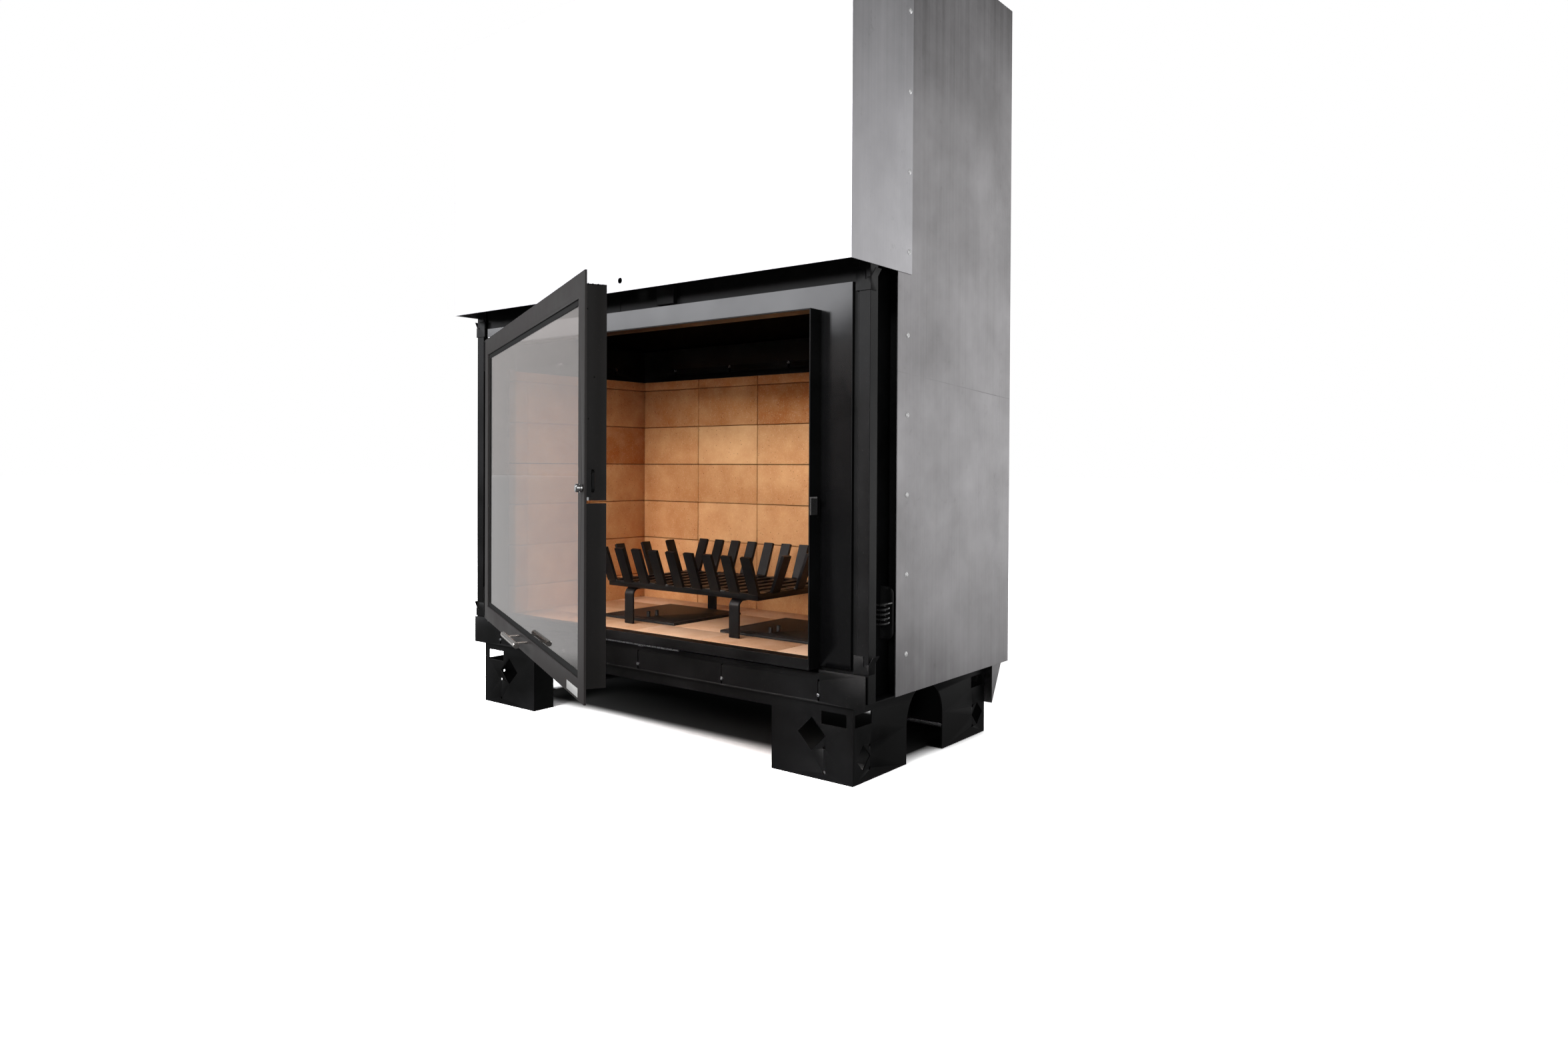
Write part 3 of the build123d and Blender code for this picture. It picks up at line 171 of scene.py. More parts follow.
@dataclass(frozen=True)
class PaintedSteel(Finish):
    """Heat-proof paint sprayed on steel: low sheen, faint orange peel, uneven in tone and gloss."""

    dark: str = "070707"
    light: str = "121213"
    roughness: float = 0.44
    uneven: float = 0.08
    specular: float = 0.13
    cloud_mm: float = 160.0
    peel_mm: float = 1.6
    peel_depth: float = 0.06
    dust: float = 0.05
    # Settled dust is finer than this, and is drawn coarser so that it shows.
    speck_mm: float = 4.0

    def shader(self, tree: bpy.types.NodeTree) -> bpy.types.NodeSocket:
        """Two tones in soft clouds, dust specks, and gloss that follows the clouds.

        Args:
            tree: the material's node tree.

        Returns:
            The socket of its shader.
        """
        place = add_node(tree, "ShaderNodeTexCoord").outputs["Object"]
        clouds = add_node(tree, "ShaderNodeTexNoise", inputs={
            "Vector": place, "Scale": per_mm(self.cloud_mm), "Detail": 4.0,
            "Roughness": 0.55}).outputs["Fac"]
        tone = add_node(tree, "ShaderNodeMapRange", inputs={
            "Value": clouds, "From Min": 0.35, "From Max": 0.65}).outputs["Result"]
        paint = add_node(tree, "ShaderNodeMix", {"data_type": "RGBA"}, {
            "Factor": tone, 6: colour(self.dark), 7: colour(self.light)}).outputs[2]
        specks = add_node(tree, "ShaderNodeTexNoise", inputs={
            "Vector": place, "Scale": per_mm(self.speck_mm), "Detail": 2.0}).outputs["Fac"]
        dusty = add_node(tree, "ShaderNodeMapRange", inputs={
            "Value": specks, "From Min": 0.68, "From Max": 0.78, "To Max": self.dust}).outputs["Result"]
        base = add_node(tree, "ShaderNodeMix", {"data_type": "RGBA"}, {
            "Factor": dusty, 6: paint, 7: colour("8c8a86")}).outputs[2]
        gloss = add_node(tree, "ShaderNodeMapRange", inputs={
            "Value": clouds, "From Min": 0.3, "From Max": 0.7,
            "To Min": self.roughness - self.uneven,
            "To Max": self.roughness + self.uneven}).outputs["Result"]
        peel = add_node(tree, "ShaderNodeTexNoise", inputs={
            "Vector": place, "Scale": per_mm(self.peel_mm), "Detail": 1.0}).outputs["Fac"]
        bump = add_node(tree, "ShaderNodeBump", inputs={
            "Strength": 0.35, "Distance": self.peel_depth * MM, "Height": peel}).outputs["Normal"]
        return add_node(tree, "ShaderNodeBsdfPrincipled", inputs={
            "Base Color": base, "Roughness": gloss, "Normal": bump,
            "Specular IOR Level": self.specular}).outputs["BSDF"]


@dataclass(frozen=True)
class RolledSheet(Finish):
    """Bare cold-rolled sheet: upright mill streaks, hand marks and a matt metal sheen."""

    dark: str = "7c7a7b"
    light: str = "a09ea0"
    roughness: float = 0.46
    streak_mm: float = 26.0
    streak_length_mm: float = 1400.0
    # Mill lines are a tenth as wide as this, and are drawn coarser so that they show.
    fine_mm: float = 5.0
    fine_length_mm: float = 700.0
    blotch_mm: float = 190.0
    smudge_mm: float = 38.0
    stain: float = 0.5
    hairline: bool = False
    # The scratch on Object coordinates: its fall per metre of depth, its level and its half width.
    scratch: Spot = (-0.055, 0.803, 0.0009)

    def shader(self, tree: bpy.types.NodeTree) -> bpy.types.NodeSocket:
        """Streaks of two widths, blotches left by hands, and on one finish a long scratch.

        Args:
            tree: the material's node tree.

        Returns:
            The socket of its shader.
        """
        place = add_node(tree, "ShaderNodeTexCoord").outputs["Object"]
        layers = []
        for width, length, detail in ((self.streak_mm, self.streak_length_mm, 2.0),
                                      (self.fine_mm, self.fine_length_mm, 1.0)):
            drawn = add_node(tree, "ShaderNodeMapping", inputs={
                "Vector": place,
                "Scale": (per_mm(width), per_mm(width), per_mm(length))}).outputs["Vector"]
            layers.append(add_node(tree, "ShaderNodeTexNoise", inputs={
                "Vector": drawn, "Scale": 1.0, "Detail": detail}).outputs["Fac"])
        blotches = add_node(tree, "ShaderNodeTexNoise", inputs={
            "Vector": place, "Scale": per_mm(self.blotch_mm), "Detail": 5.0,
            "Roughness": 0.6}).outputs["Fac"]
        streaks = add_node(tree, "ShaderNodeMix", {"data_type": "FLOAT"}, {
            "Factor": 0.35, 2: layers[0], 3: layers[1]}).outputs[0]
        uneven = add_node(tree, "ShaderNodeMix", {"data_type": "FLOAT"}, {
            "Factor": self.stain, 2: streaks, 3: blotches}).outputs[0]
        tone = add_node(tree, "ShaderNodeMapRange", inputs={
            "Value": uneven, "From Min": 0.36, "From Max": 0.62}).outputs["Result"]
        metal = add_node(tree, "ShaderNodeMix", {"data_type": "RGBA"}, {
            "Factor": tone, 6: colour(self.dark), 7: colour(self.light)}).outputs[2]
        smudge = add_node(tree, "ShaderNodeTexNoise", inputs={
            "Vector": place, "Scale": per_mm(self.smudge_mm), "Detail": 6.0,
            "Roughness": 0.7}).outputs["Fac"]
        marks = add_node(tree, "ShaderNodeMapRange", inputs={
            "Value": smudge, "From Min": 0.62, "From Max": 0.72, "To Max": 0.22}).outputs["Result"]
        metal = add_node(tree, "ShaderNodeMix", {"data_type": "RGBA"}, {
            "Factor": marks, 6: metal, 7: colour("5e5b58")}).outputs[2]
        if self.hairline:
            fall, level, width = self.scratch
            axes = add_node(tree, "ShaderNodeSeparateXYZ", inputs={"Vector": place})
            slope = add_node(tree, "ShaderNodeMath", {"operation": "MULTIPLY_ADD"}, {
                0: axes.outputs["Y"], 1: fall, 2: level}).outputs[0]
            line = add_node(tree, "ShaderNodeMath", {"operation": "COMPARE"}, {
                0: axes.outputs["Z"], 1: slope, 2: width}).outputs[0]
            faint = add_node(tree, "ShaderNodeMapRange", inputs={
                "Value": blotches, "From Min": 0.4, "From Max": 0.6, "To Max": 0.5}).outputs["Result"]
            broken = add_node(tree, "ShaderNodeMath", {"operation": "MULTIPLY"}, {
                0: line, 1: faint}).outputs[0]
            metal = add_node(tree, "ShaderNodeMix", {"data_type": "RGBA"}, {
                "Factor": broken, 6: metal, 7: colour("4a4848")}).outputs[2]
        rough = add_node(tree, "ShaderNodeMapRange", inputs={
            "Value": streaks, "From Min": 0.3, "From Max": 0.7,
            "To Min": self.roughness - 0.07, "To Max": self.roughness + 0.07}).outputs["Result"]
        bump = add_node(tree, "ShaderNodeBump", inputs={
            "Strength": 0.25, "Distance": 0.02 * MM, "Height": layers[1]}).outputs["Normal"]
        return add_node(tree, "ShaderNodeBsdfPrincipled", inputs={
            "Base Color": metal, "Metallic": 0.85, "Roughness": rough, "Normal": bump}).outputs["BSDF"]


@dataclass(frozen=True)
class PlainMetal(Finish):
    """Small metal goods, plated, polished or drawn, with fine marks from handling."""

    tint: str = "b8b9bb"
    worn: str = "8f9092"
    roughness: float = 0.28
    # Brushing and handling marks are finer than this, and are drawn coarser so that they show.
    grain_mm: float = 3.0
    metallic: float = 1.0

    def shader(self, tree: bpy.types.NodeTree) -> bpy.types.NodeSocket:
        """A metal whose tone and gloss vary together over its marks.

        Args:
            tree: the material's node tree.

        Returns:
            The socket of its shader.
        """
        place = add_node(tree, "ShaderNodeTexCoord").outputs["Object"]
        grain = add_node(tree, "ShaderNodeTexNoise", inputs={
            "Vector": place, "Scale": per_mm(self.grain_mm), "Detail": 3.0}).outputs["Fac"]
        metal = add_node(tree, "ShaderNodeMix", {"data_type": "RGBA"}, {
            "Factor": grain, 6: colour(self.tint), 7: colour(self.worn)}).outputs[2]
        rough = add_node(tree, "ShaderNodeMapRange", inputs={
            "Value": grain, "To Min": self.roughness * 0.7,
            "To Max": self.roughness * 1.3}).outputs["Result"]
        return add_node(tree, "ShaderNodeBsdfPrincipled", inputs={
            "Base Color": metal, "Metallic": self.metallic, "Roughness": rough}).outputs["BSDF"]


@dataclass(frozen=True)
class CastIron(Finish):
    """Sand-cast iron, blacked: a pebbled skin and greyer high spots."""

    dark: str = "101010"
    light: str = "1e1d1d"
    sand_mm: float = 2.2

    def shader(self, tree: bpy.types.NodeTree) -> bpy.types.NodeSocket:
        """The sand's pebbles give both the bump and the paler high spots.

        Args:
            tree: the material's node tree.

        Returns:
            The socket of its shader.
        """
        place = add_node(tree, "ShaderNodeTexCoord").outputs["Object"]
        sand = add_node(tree, "ShaderNodeTexNoise", inputs={
            "Vector": place, "Scale": per_mm(self.sand_mm), "Detail": 4.0,
            "Roughness": 0.6}).outputs["Fac"]
        skin = add_node(tree, "ShaderNodeMix", {"data_type": "RGBA"}, {
            "Factor": sand, 6: colour(self.dark), 7: colour(self.light)}).outputs[2]
        rough = add_node(tree, "ShaderNodeMapRange", inputs={
            "Value": sand, "To Min": 0.45, "To Max": 0.65}).outputs["Result"]
        bump = add_node(tree, "ShaderNodeBump", inputs={
            "Strength": 0.6, "Distance": 0.25 * MM, "Height": sand}).outputs["Normal"]
        return add_node(tree, "ShaderNodeBsdfPrincipled", inputs={
            "Base Color": skin, "Roughness": rough, "Normal": bump,
            "Specular IOR Level": 0.35}).outputs["BSDF"]


@dataclass(frozen=True)
class Fireclay(Finish):
    """Pressed and fired fireclay: orange tan, each brick its own tone, with grog and iron specks."""

    dark: str = "a96a3a"
    light: str = "d5a877"
    cloud_mm: float = 70.0
    # Grog and iron specks are about a millimetre across, and are drawn coarser so that they show.
    grog_mm: float = 3.0
    speck_mm: float = 13.0

    def shader(self, tree: bpy.types.NodeTree) -> bpy.types.NodeSocket:
        """The brick's own tone with clouds over it, pale grog, dark specks and small pits.

        Args:
            tree: the material's node tree.

        Returns:
            The socket of its shader.
        """
        place = add_node(tree, "ShaderNodeTexCoord").outputs["Object"]
        own = add_node(tree, "ShaderNodeAttribute", {"attribute_name": "tone"}).outputs["Fac"]
        clouds = add_node(tree, "ShaderNodeTexNoise", inputs={
            "Vector": place, "Scale": per_mm(self.cloud_mm), "Detail": 5.0,
            "Roughness": 0.6}).outputs["Fac"]
        drift = add_node(tree, "ShaderNodeMath", {"operation": "SUBTRACT"}, {
            0: clouds, 1: 0.5}).outputs[0]
        tone = add_node(tree, "ShaderNodeMath", {"operation": "MULTIPLY_ADD", "use_clamp": True}, {
            0: drift, 1: 1.2, 2: own}).outputs[0]
        clay = add_node(tree, "ShaderNodeMix", {"data_type": "RGBA"}, {
            "Factor": tone, 6: colour(self.dark), 7: colour(self.light)}).outputs[2]
        grog = add_node(tree, "ShaderNodeTexNoise", inputs={
            "Vector": place, "Scale": per_mm(self.grog_mm), "Detail": 3.0,
            "Roughness": 0.65}).outputs["Fac"]
        pale = add_node(tree, "ShaderNodeMapRange", inputs={
            "Value": grog, "From Min": 0.55, "From Max": 0.75, "To Max": 0.4}).outputs["Result"]
        clay = add_node(tree, "ShaderNodeMix", {"data_type": "RGBA"}, {
            "Factor": pale, 6: clay, 7: colour("eccaa0")}).outputs[2]
        cells = add_node(tree, "ShaderNodeTexVoronoi", inputs={
            "Vector": place, "Scale": per_mm(self.speck_mm)}).outputs["Distance"]
        dots = add_node(tree, "ShaderNodeMapRange", inputs={
            "Value": cells, "From Min": 0.05, "From Max": 0.13, "To Min": 0.75,
            "To Max": 0.0}).outputs["Result"]
        clay = add_node(tree, "ShaderNodeMix", {"data_type": "RGBA"}, {
            "Factor": dots, 6: clay, 7: colour("5b3218")}).outputs[2]
        bump = add_node(tree, "ShaderNodeBump", inputs={
            "Strength": 0.5, "Distance": 0.5 * MM, "Height": grog}).outputs["Normal"]
        return add_node(tree, "ShaderNodeBsdfPrincipled", inputs={
            "Base Color": clay, "Roughness": 0.9, "Normal": bump,
            "Specular IOR Level": 0.25}).outputs["BSDF"]


@dataclass(frozen=True)
class FireGlass(Finish):
    """Clear ceramic pane with a thin heat-reflecting coat, so it mirrors more than plain glass."""

    tint: str = "efe6e2"
    smoke: str = "c4bebb"
    ior: float = 1.56

    def shader(self, tree: bpy.types.NodeTree) -> bpy.types.NodeSocket:
        """Clear to the eye, and to the lamps so that the chamber behind it stays lit.

        Args:
            tree: the material's node tree.

        Returns:
            The socket of its shader.
        """
        pane = add_node(tree, "ShaderNodeBsdfPrincipled", inputs={
            "Base Color": colour(self.tint), "Roughness": 0.02, "IOR": self.ior,
            "Transmission Weight": 1.0}).outputs["BSDF"]
        lit = add_node(tree, "ShaderNodeBsdfTransparent", inputs={
            "Color": colour(self.smoke)}).outputs["BSDF"]
        ray = add_node(tree, "ShaderNodeLightPath").outputs["Is Shadow Ray"]
        return add_node(tree, "ShaderNodeMixShader", inputs={0: ray, 1: pane, 2: lit}).outputs["Shader"]


@dataclass(frozen=True)
class WovenGasket(Finish):
    """Flat gasket of woven black glass fibre: matt, with an uneven weave."""

    # The threads are half as thick, and are drawn coarser so that they show.
    thread_mm: float = 1.5

    def shader(self, tree: bpy.types.NodeTree) -> bpy.types.NodeSocket:
        """Matt black threads.

        Args:
            tree: the material's node tree.

        Returns:
            The socket of its shader.
        """
        place = add_node(tree, "ShaderNodeTexCoord").outputs["Object"]
        weave = add_node(tree, "ShaderNodeTexNoise", inputs={
            "Vector": place, "Scale": per_mm(self.thread_mm), "Detail": 2.0}).outputs["Fac"]
        yarn = add_node(tree, "ShaderNodeMix", {"data_type": "RGBA"}, {
            "Factor": weave, 6: colour("0d0d0d"), 7: colour("1b1b1b")}).outputs[2]
        bump = add_node(tree, "ShaderNodeBump", inputs={
            "Strength": 0.6, "Distance": 0.3 * MM, "Height": weave}).outputs["Normal"]
        return add_node(tree, "ShaderNodeBsdfPrincipled", inputs={
            "Base Color": yarn, "Roughness": 0.95, "Normal": bump,
            "Specular IOR Level": 0.2}).outputs["BSDF"]


@dataclass(frozen=True)
class Vermiculite(Finish):
    """Pressed vermiculite board coloured near black as painted shade: dull dark flakes."""

    flake_mm: float = 4.0

    def shader(self, tree: bpy.types.NodeTree) -> bpy.types.NodeSocket:
        """Flakes, each a little lighter or darker, with hardly any sheen.

        Args:
            tree: the material's node tree.

        Returns:
            The socket of its shader.
        """
        place = add_node(tree, "ShaderNodeTexCoord").outputs["Object"]
        flakes = add_node(tree, "ShaderNodeTexVoronoi", inputs={
            "Vector": place, "Scale": per_mm(self.flake_mm)}).outputs["Distance"]
        # Painted shade: the flakes are near black so that the top of the chamber stays dark.
        board = add_node(tree, "ShaderNodeMix", {"data_type": "RGBA"}, {
            "Factor": flakes, 6: colour("070707"), 7: colour("040404")}).outputs[2]
        return add_node(tree, "ShaderNodeBsdfPrincipled", inputs={
            "Base Color": board, "Roughness": 0.9, "Specular IOR Level": 0.05}).outputs["BSDF"]


# Body, base and small sheet parts: nearly black, with a soft grey sheen where the light grazes them.
BLACK_STEEL = PaintedSteel("satin_black_heatproof_paint", "satin_black_steel")
# Sheet round the mouth: smoother and glossier, so that it mirrors the pale room as a cool grey.
FASCIA_PAINT = PaintedSteel("blue_black_sheet_paint", "blued_black_steel", dark="060607", light="0b0b0c",
                            roughness=0.21, uneven=0.04, specular=0.5, dust=0.03)
# Door: a warmer and lighter grey than the body.
DOOR_PAINT = PaintedSteel("warm_dark_grey_door_paint", "brown_black_door_steel", dark="1e1c1b",
                          light="262323", roughness=0.46, specular=0.2, cloud_mm=220.0)
# Basket and latch block: thick paint on flat bar, whose edges catch the light.
GRATE_PAINT = PaintedSteel("black_painted_flat_bar", "black_grate_steel", dark="0b0b0c", light="141414",
                           roughness=0.42, specular=0.22, peel_mm=1.1)
# Springs and strike: blackened steel with a sharp highlight.
SPRING_PAINT = PaintedSteel("blackened_spring_wire", "black_spring_wire", dark="2a2a2a", light="3a3a3a",
                            roughness=0.24, specular=1.0)
# Side covers: mid grey, clearly streaked, with one long scratch.
SIDE_SHEET = RolledSheet("cold_rolled_side_sheet", "raw_steel_sheet", hairline=True)
# Back and top covers: the same sheet without the scratch.
REAR_SHEET = RolledSheet("cold_rolled_sheet", "raw_steel_sheet")
# Upper casing: a brighter sheet, nearly white where it faces the lamps.
CASING_SHEET = RolledSheet("bright_casing_sheet", "bright_steel_sheet", dark="a4a3a6", light="bcbbbe")
# Screws and pins: bluish white zinc, dulled here and there.
ZINC = PlainMetal("zinc_plated_fastener", "zinc_screws", tint="c4c6c8", worn="8b8d90")
# Cables and pulleys: drawn steel, greyer and duller.
CABLE = PlainMetal("drawn_steel", "steel_cable", tint="8e8f91", worn="6a6b6d", roughness=0.35)
# Handle: brushed stainless steel, warm and softly bright.
STAINLESS = PlainMetal("brushed_stainless_bar", "brushed_stainless", tint="d8d4cf", worn="b0aca8",
                       roughness=0.2, grain_mm=1.2)
# Latch knob: polished chrome, a small mirror of the room.
CHROME = PlainMetal("chromed_turned_steel", "chromed_steel", tint="dadada", worn="c4c4c4", roughness=0.08)
# Rivet heads: oxidised aluminium, pale and half matt, so that they show as light dots.
ALUMINIUM = PlainMetal("bright_aluminium", "zinc_screws", tint="f4f4f4", worn="dedede", roughness=0.4,
                       metallic=0.45)
# Plate on the door: satin metal, an even light grey.
BLANK_PLATE = PlainMetal("satin_plate", "brushed_stainless", tint="bcbcba", worn="a6a6a4", roughness=0.35,
                         metallic=0.45)
# Lids and frames in the floor: rough black castings, barely greyer on their high spots.
CAST_IRON = CastIron("blacked_cast_iron", "black_cast_iron")
# Walls: warm orange tan, each brick with its own tone.
FIREBRICK = Fireclay("pressed_fireclay_brick", "firebrick")
# Floor: a paler clay than the walls, with a little pink in it.
HEARTH_TILE = Fireclay("pale_fireclay_tile", "firebrick", dark="ba8b64", light="debd9e")
# Pane: clear, with a strong faintly warm mirror of the room.
FIRE_GLASS = FireGlass("coated_ceramic_fire_glass", "fire_glass")
# Band between pane and door: a dead matt black line.
GASKET = WovenGasket("woven_glass_fibre_gasket", "black_gasket")
# Board above the fire: a dull near black, painted shade that keeps the top of the chamber dark.
BAFFLE = Vermiculite("shade_black_vermiculite_board", "vermiculite")


# ------------------------------------------------------------------------------------------
# Making pieces
# ------------------------------------------------------------------------------------------


def stand(shape: bmesh.types.BMesh, name: str, finish: Finish, body: str,
          sharp: float = SHARP) -> bpy.types.Object:
    """Turns a finished bmesh into a piece that rides on a body.

    Args:
        shape: the mesh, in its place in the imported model's frame. It is freed.
        name: name of the piece.
        finish: what it is made of.
        body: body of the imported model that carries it.
        sharp: edges that turn by more than this stay crisp.

    Returns:
        The piece's object.
    """
    mesh = bpy.data.meshes.new(name)
    shape.to_mesh(mesh)
    shape.free()
    for face in mesh.polygons:
        face.use_smooth = True
    mesh.set_sharp_from_angle(angle=sharp)
    mesh.materials.append(finish.material())
    piece = bpy.data.objects.new(name, mesh)
    bpy.context.scene.collection.objects.link(piece)
    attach(piece, body)
    return piece


def edges_of(verts: Iterable[bmesh.types.BMVert]) -> list[bmesh.types.BMEdge]:
    """Every edge that meets one of these vertices."""
    return list({edge for vert in verts for edge in vert.link_edges})


def outwards(shape: bmesh.types.BMesh, verts: Iterable[bmesh.types.BMVert]) -> None:
    """Turns the faces round these vertices outwards."""
    bmesh.ops.recalc_face_normals(shape, faces=list({face for vert in verts for face in vert.link_faces}))


def bevelled(shape: bmesh.types.BMesh, edges: Sequence[bmesh.types.BMEdge], width: float, steps: int = 1,
             clamp: bool = False) -> None:
    """Bevels edges.

    Args:
        shape: mesh that they belong to.
        edges: the edges.
        width: how far the bevel reaches from each edge.
        steps: faces across the bevel.
        clamp: whether bevels that would meet stop short of each other.
    """
    bmesh.ops.bevel(shape, geom=edges, offset=width, offset_type="OFFSET", segments=steps, profile=0.5,
                    affect="EDGES", clamp_overlap=clamp, material=-1)


def joined(shape: bmesh.types.BMesh) -> None:
    """Joins loose triangles into the flat and round faces that they came from."""
    bmesh.ops.remove_doubles(shape, verts=shape.verts, dist=WELD)
    bmesh.ops.dissolve_limit(shape, angle_limit=FLAT, use_dissolve_boundaries=False,
                             verts=shape.verts, edges=shape.edges, delimit=set())


def soften(node: str, finish: Finish, edge: Edge,
           refit: Callable[[Vector], Vector] | None = None) -> bpy.types.Object:
    """Copies a CAD node, joins its loose triangles and breaks its sharp edges.

    Args:
        node: name of the CAD node, which the copy then stands for.
        finish: what the copy is made of.
        edge: how its edges were made.
        refit: moves each corner of the copy to its finer place.

    Returns:
        The piece's object.
    """
    source = frame["nodes"][node]
    shape = bmesh.new()
    shape.from_mesh(source.data)
    joined(shape)
    if refit:
        for vert in shape.verts:
            vert.co = refit(vert.co)
        joined(shape)
    corners = [item for item in shape.edges
               if len(item.link_faces) == 2 and item.calc_face_angle(0.0) > CORNER]
    bevelled(shape, corners, edge.value, clamp=True)
    bmesh.ops.triangulate(shape, faces=[face for face in shape.faces if len(face.verts) > 4])
    piece = stand(shape, f"{node}.dressed", finish, source["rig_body"])
    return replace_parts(piece, node)


def dress(node: str, finish: Finish) -> None:
    """Gives a CAD node a better material and leaves its shape alone.

    Args:
        node: name of the CAD node.
        finish: what it is made of.
    """
    item = frame["nodes"][node]
    item.data.materials.clear()
    item.data.materials.append(finish.material())


def block(shape: bmesh.types.BMesh, low: Sequence[float], high: Sequence[float],
          place: Matrix = Matrix()) -> list[bmesh.types.BMVert]:
    """Adds a box between two corners.

    Args:
        shape: mesh that it is added to.
        low: lowest corner, before it is placed.
        high: highest corner.
        place: turns and moves the box.

    Returns:
        The box's vertices.
    """
    low, high = Vector(low), Vector(high)
    size = high - low
    matrix = place @ Matrix.Translation((low + high) / 2) @ Matrix.Diagonal((*size, 1))
    return bmesh.ops.create_cube(shape, size=1.0, matrix=matrix)["verts"]


def turned(shape: bmesh.types.BMesh, profile: Sequence[tuple[float, float]], place: Matrix,
           steps: int = 32) -> list[bmesh.types.BMVert]:
    """Spins a profile round the Z axis of its place.

    Args:
        shape: mesh that it is added to.
        profile: radius and height of each point, from the bottom of the axis to its top.
        place: turns and moves the turned piece.
        steps: number of faces round it.

    Returns:
        The piece's vertices.
    """
    points = [shape.verts.new(Vector((radius, 0.0, height))) for radius, height in profile]
    edges = [shape.edges.new(pair) for pair in zip(points, points[1:])]
    spun = bmesh.ops.spin(shape, geom=points + edges, cent=(0, 0, 0), axis=(0, 0, 1),
                          angle=math.tau, steps=steps, use_merge=True)
    verts = {item for item in spun["geom_last"] if isinstance(item, bmesh.types.BMVert)} | set(points)
    reach = list(verts)
    for vert in reach:
        for edge in vert.link_edges:
            other = edge.other_vert(vert)
            if other not in verts:
                verts.add(other)
                reach.append(other)
    bmesh.ops.remove_doubles(shape, verts=list(verts), dist=POLE)
    kept = [vert for vert in verts if vert.is_valid]
    outwards(shape, kept)
    bmesh.ops.transform(shape, matrix=place, verts=kept)
    return kept


def bored(shape: bmesh.types.BMesh, low: tuple[float, float], high: tuple[float, float], depth: float,
          radius: float, place: Matrix, steps: int = 32) -> None:
    """Adds a block with a round bore through it.

    Args:
        shape: mesh that it is added to.
        low: lowest corner across the bore's axis, measured from the axis.
        high: highest corner across the axis.
        depth: how far the block goes along the axis.
        radius: radius of the bore.
        place: puts the axis of the bore in place.
        steps: number of faces round the bore.
    """
    inner = bmesh.ops.create_circle(shape, cap_ends=False, radius=radius, segments=steps)["verts"]
    outer = bmesh.ops.create_circle(shape, cap_ends=False, radius=radius, segments=steps)["verts"]
    rims = edges_of(inner + outer)
    for vert in outer:
        vert.co *= min((high if value > 0 else low)[axis] / value
                       for axis, value in enumerate(vert.co.xy) if abs(value) > radius * 0.01)
    for corner in ((low[0], low[1]), (low[0], high[1]), (high[0], low[1]), (high[0], high[1])):
        nearest = min(outer, key=lambda vert: (vert.co.xy - Vector(corner)).length)
        nearest.co = Vector((*corner, 0))
    face = bmesh.ops.bridge_loops(shape, edges=rims)["faces"]
    raised = bmesh.ops.extrude_face_region(shape, geom=face)["geom"]
    top = [item for item in raised if isinstance(item, bmesh.types.BMVert)]
    bmesh.ops.translate(shape, vec=(0, 0, depth), verts=top)
    whole = inner + outer + top
    outwards(shape, whole)
    bmesh.ops.transform(shape, matrix=place, verts=whole)


def aligned(origin: Vector, *axes: Vector) -> Matrix:
    """Place that starts at a point and whose X, Y and Z axes run along three directions."""
    return Matrix.Translation(origin) @ Matrix(axes).transposed().to_4x4()


def facing(origin: Sequence[float], direction: Sequence[float]) -> Matrix:
    """Place whose Z axis starts at a point and looks along a direction."""
    return Matrix.Translation(origin) @ Vector(direction).to_track_quat("Z", "Y").to_matrix().to_4x4()


# ------------------------------------------------------------------------------------------
# Sub-assemblies
# ------------------------------------------------------------------------------------------


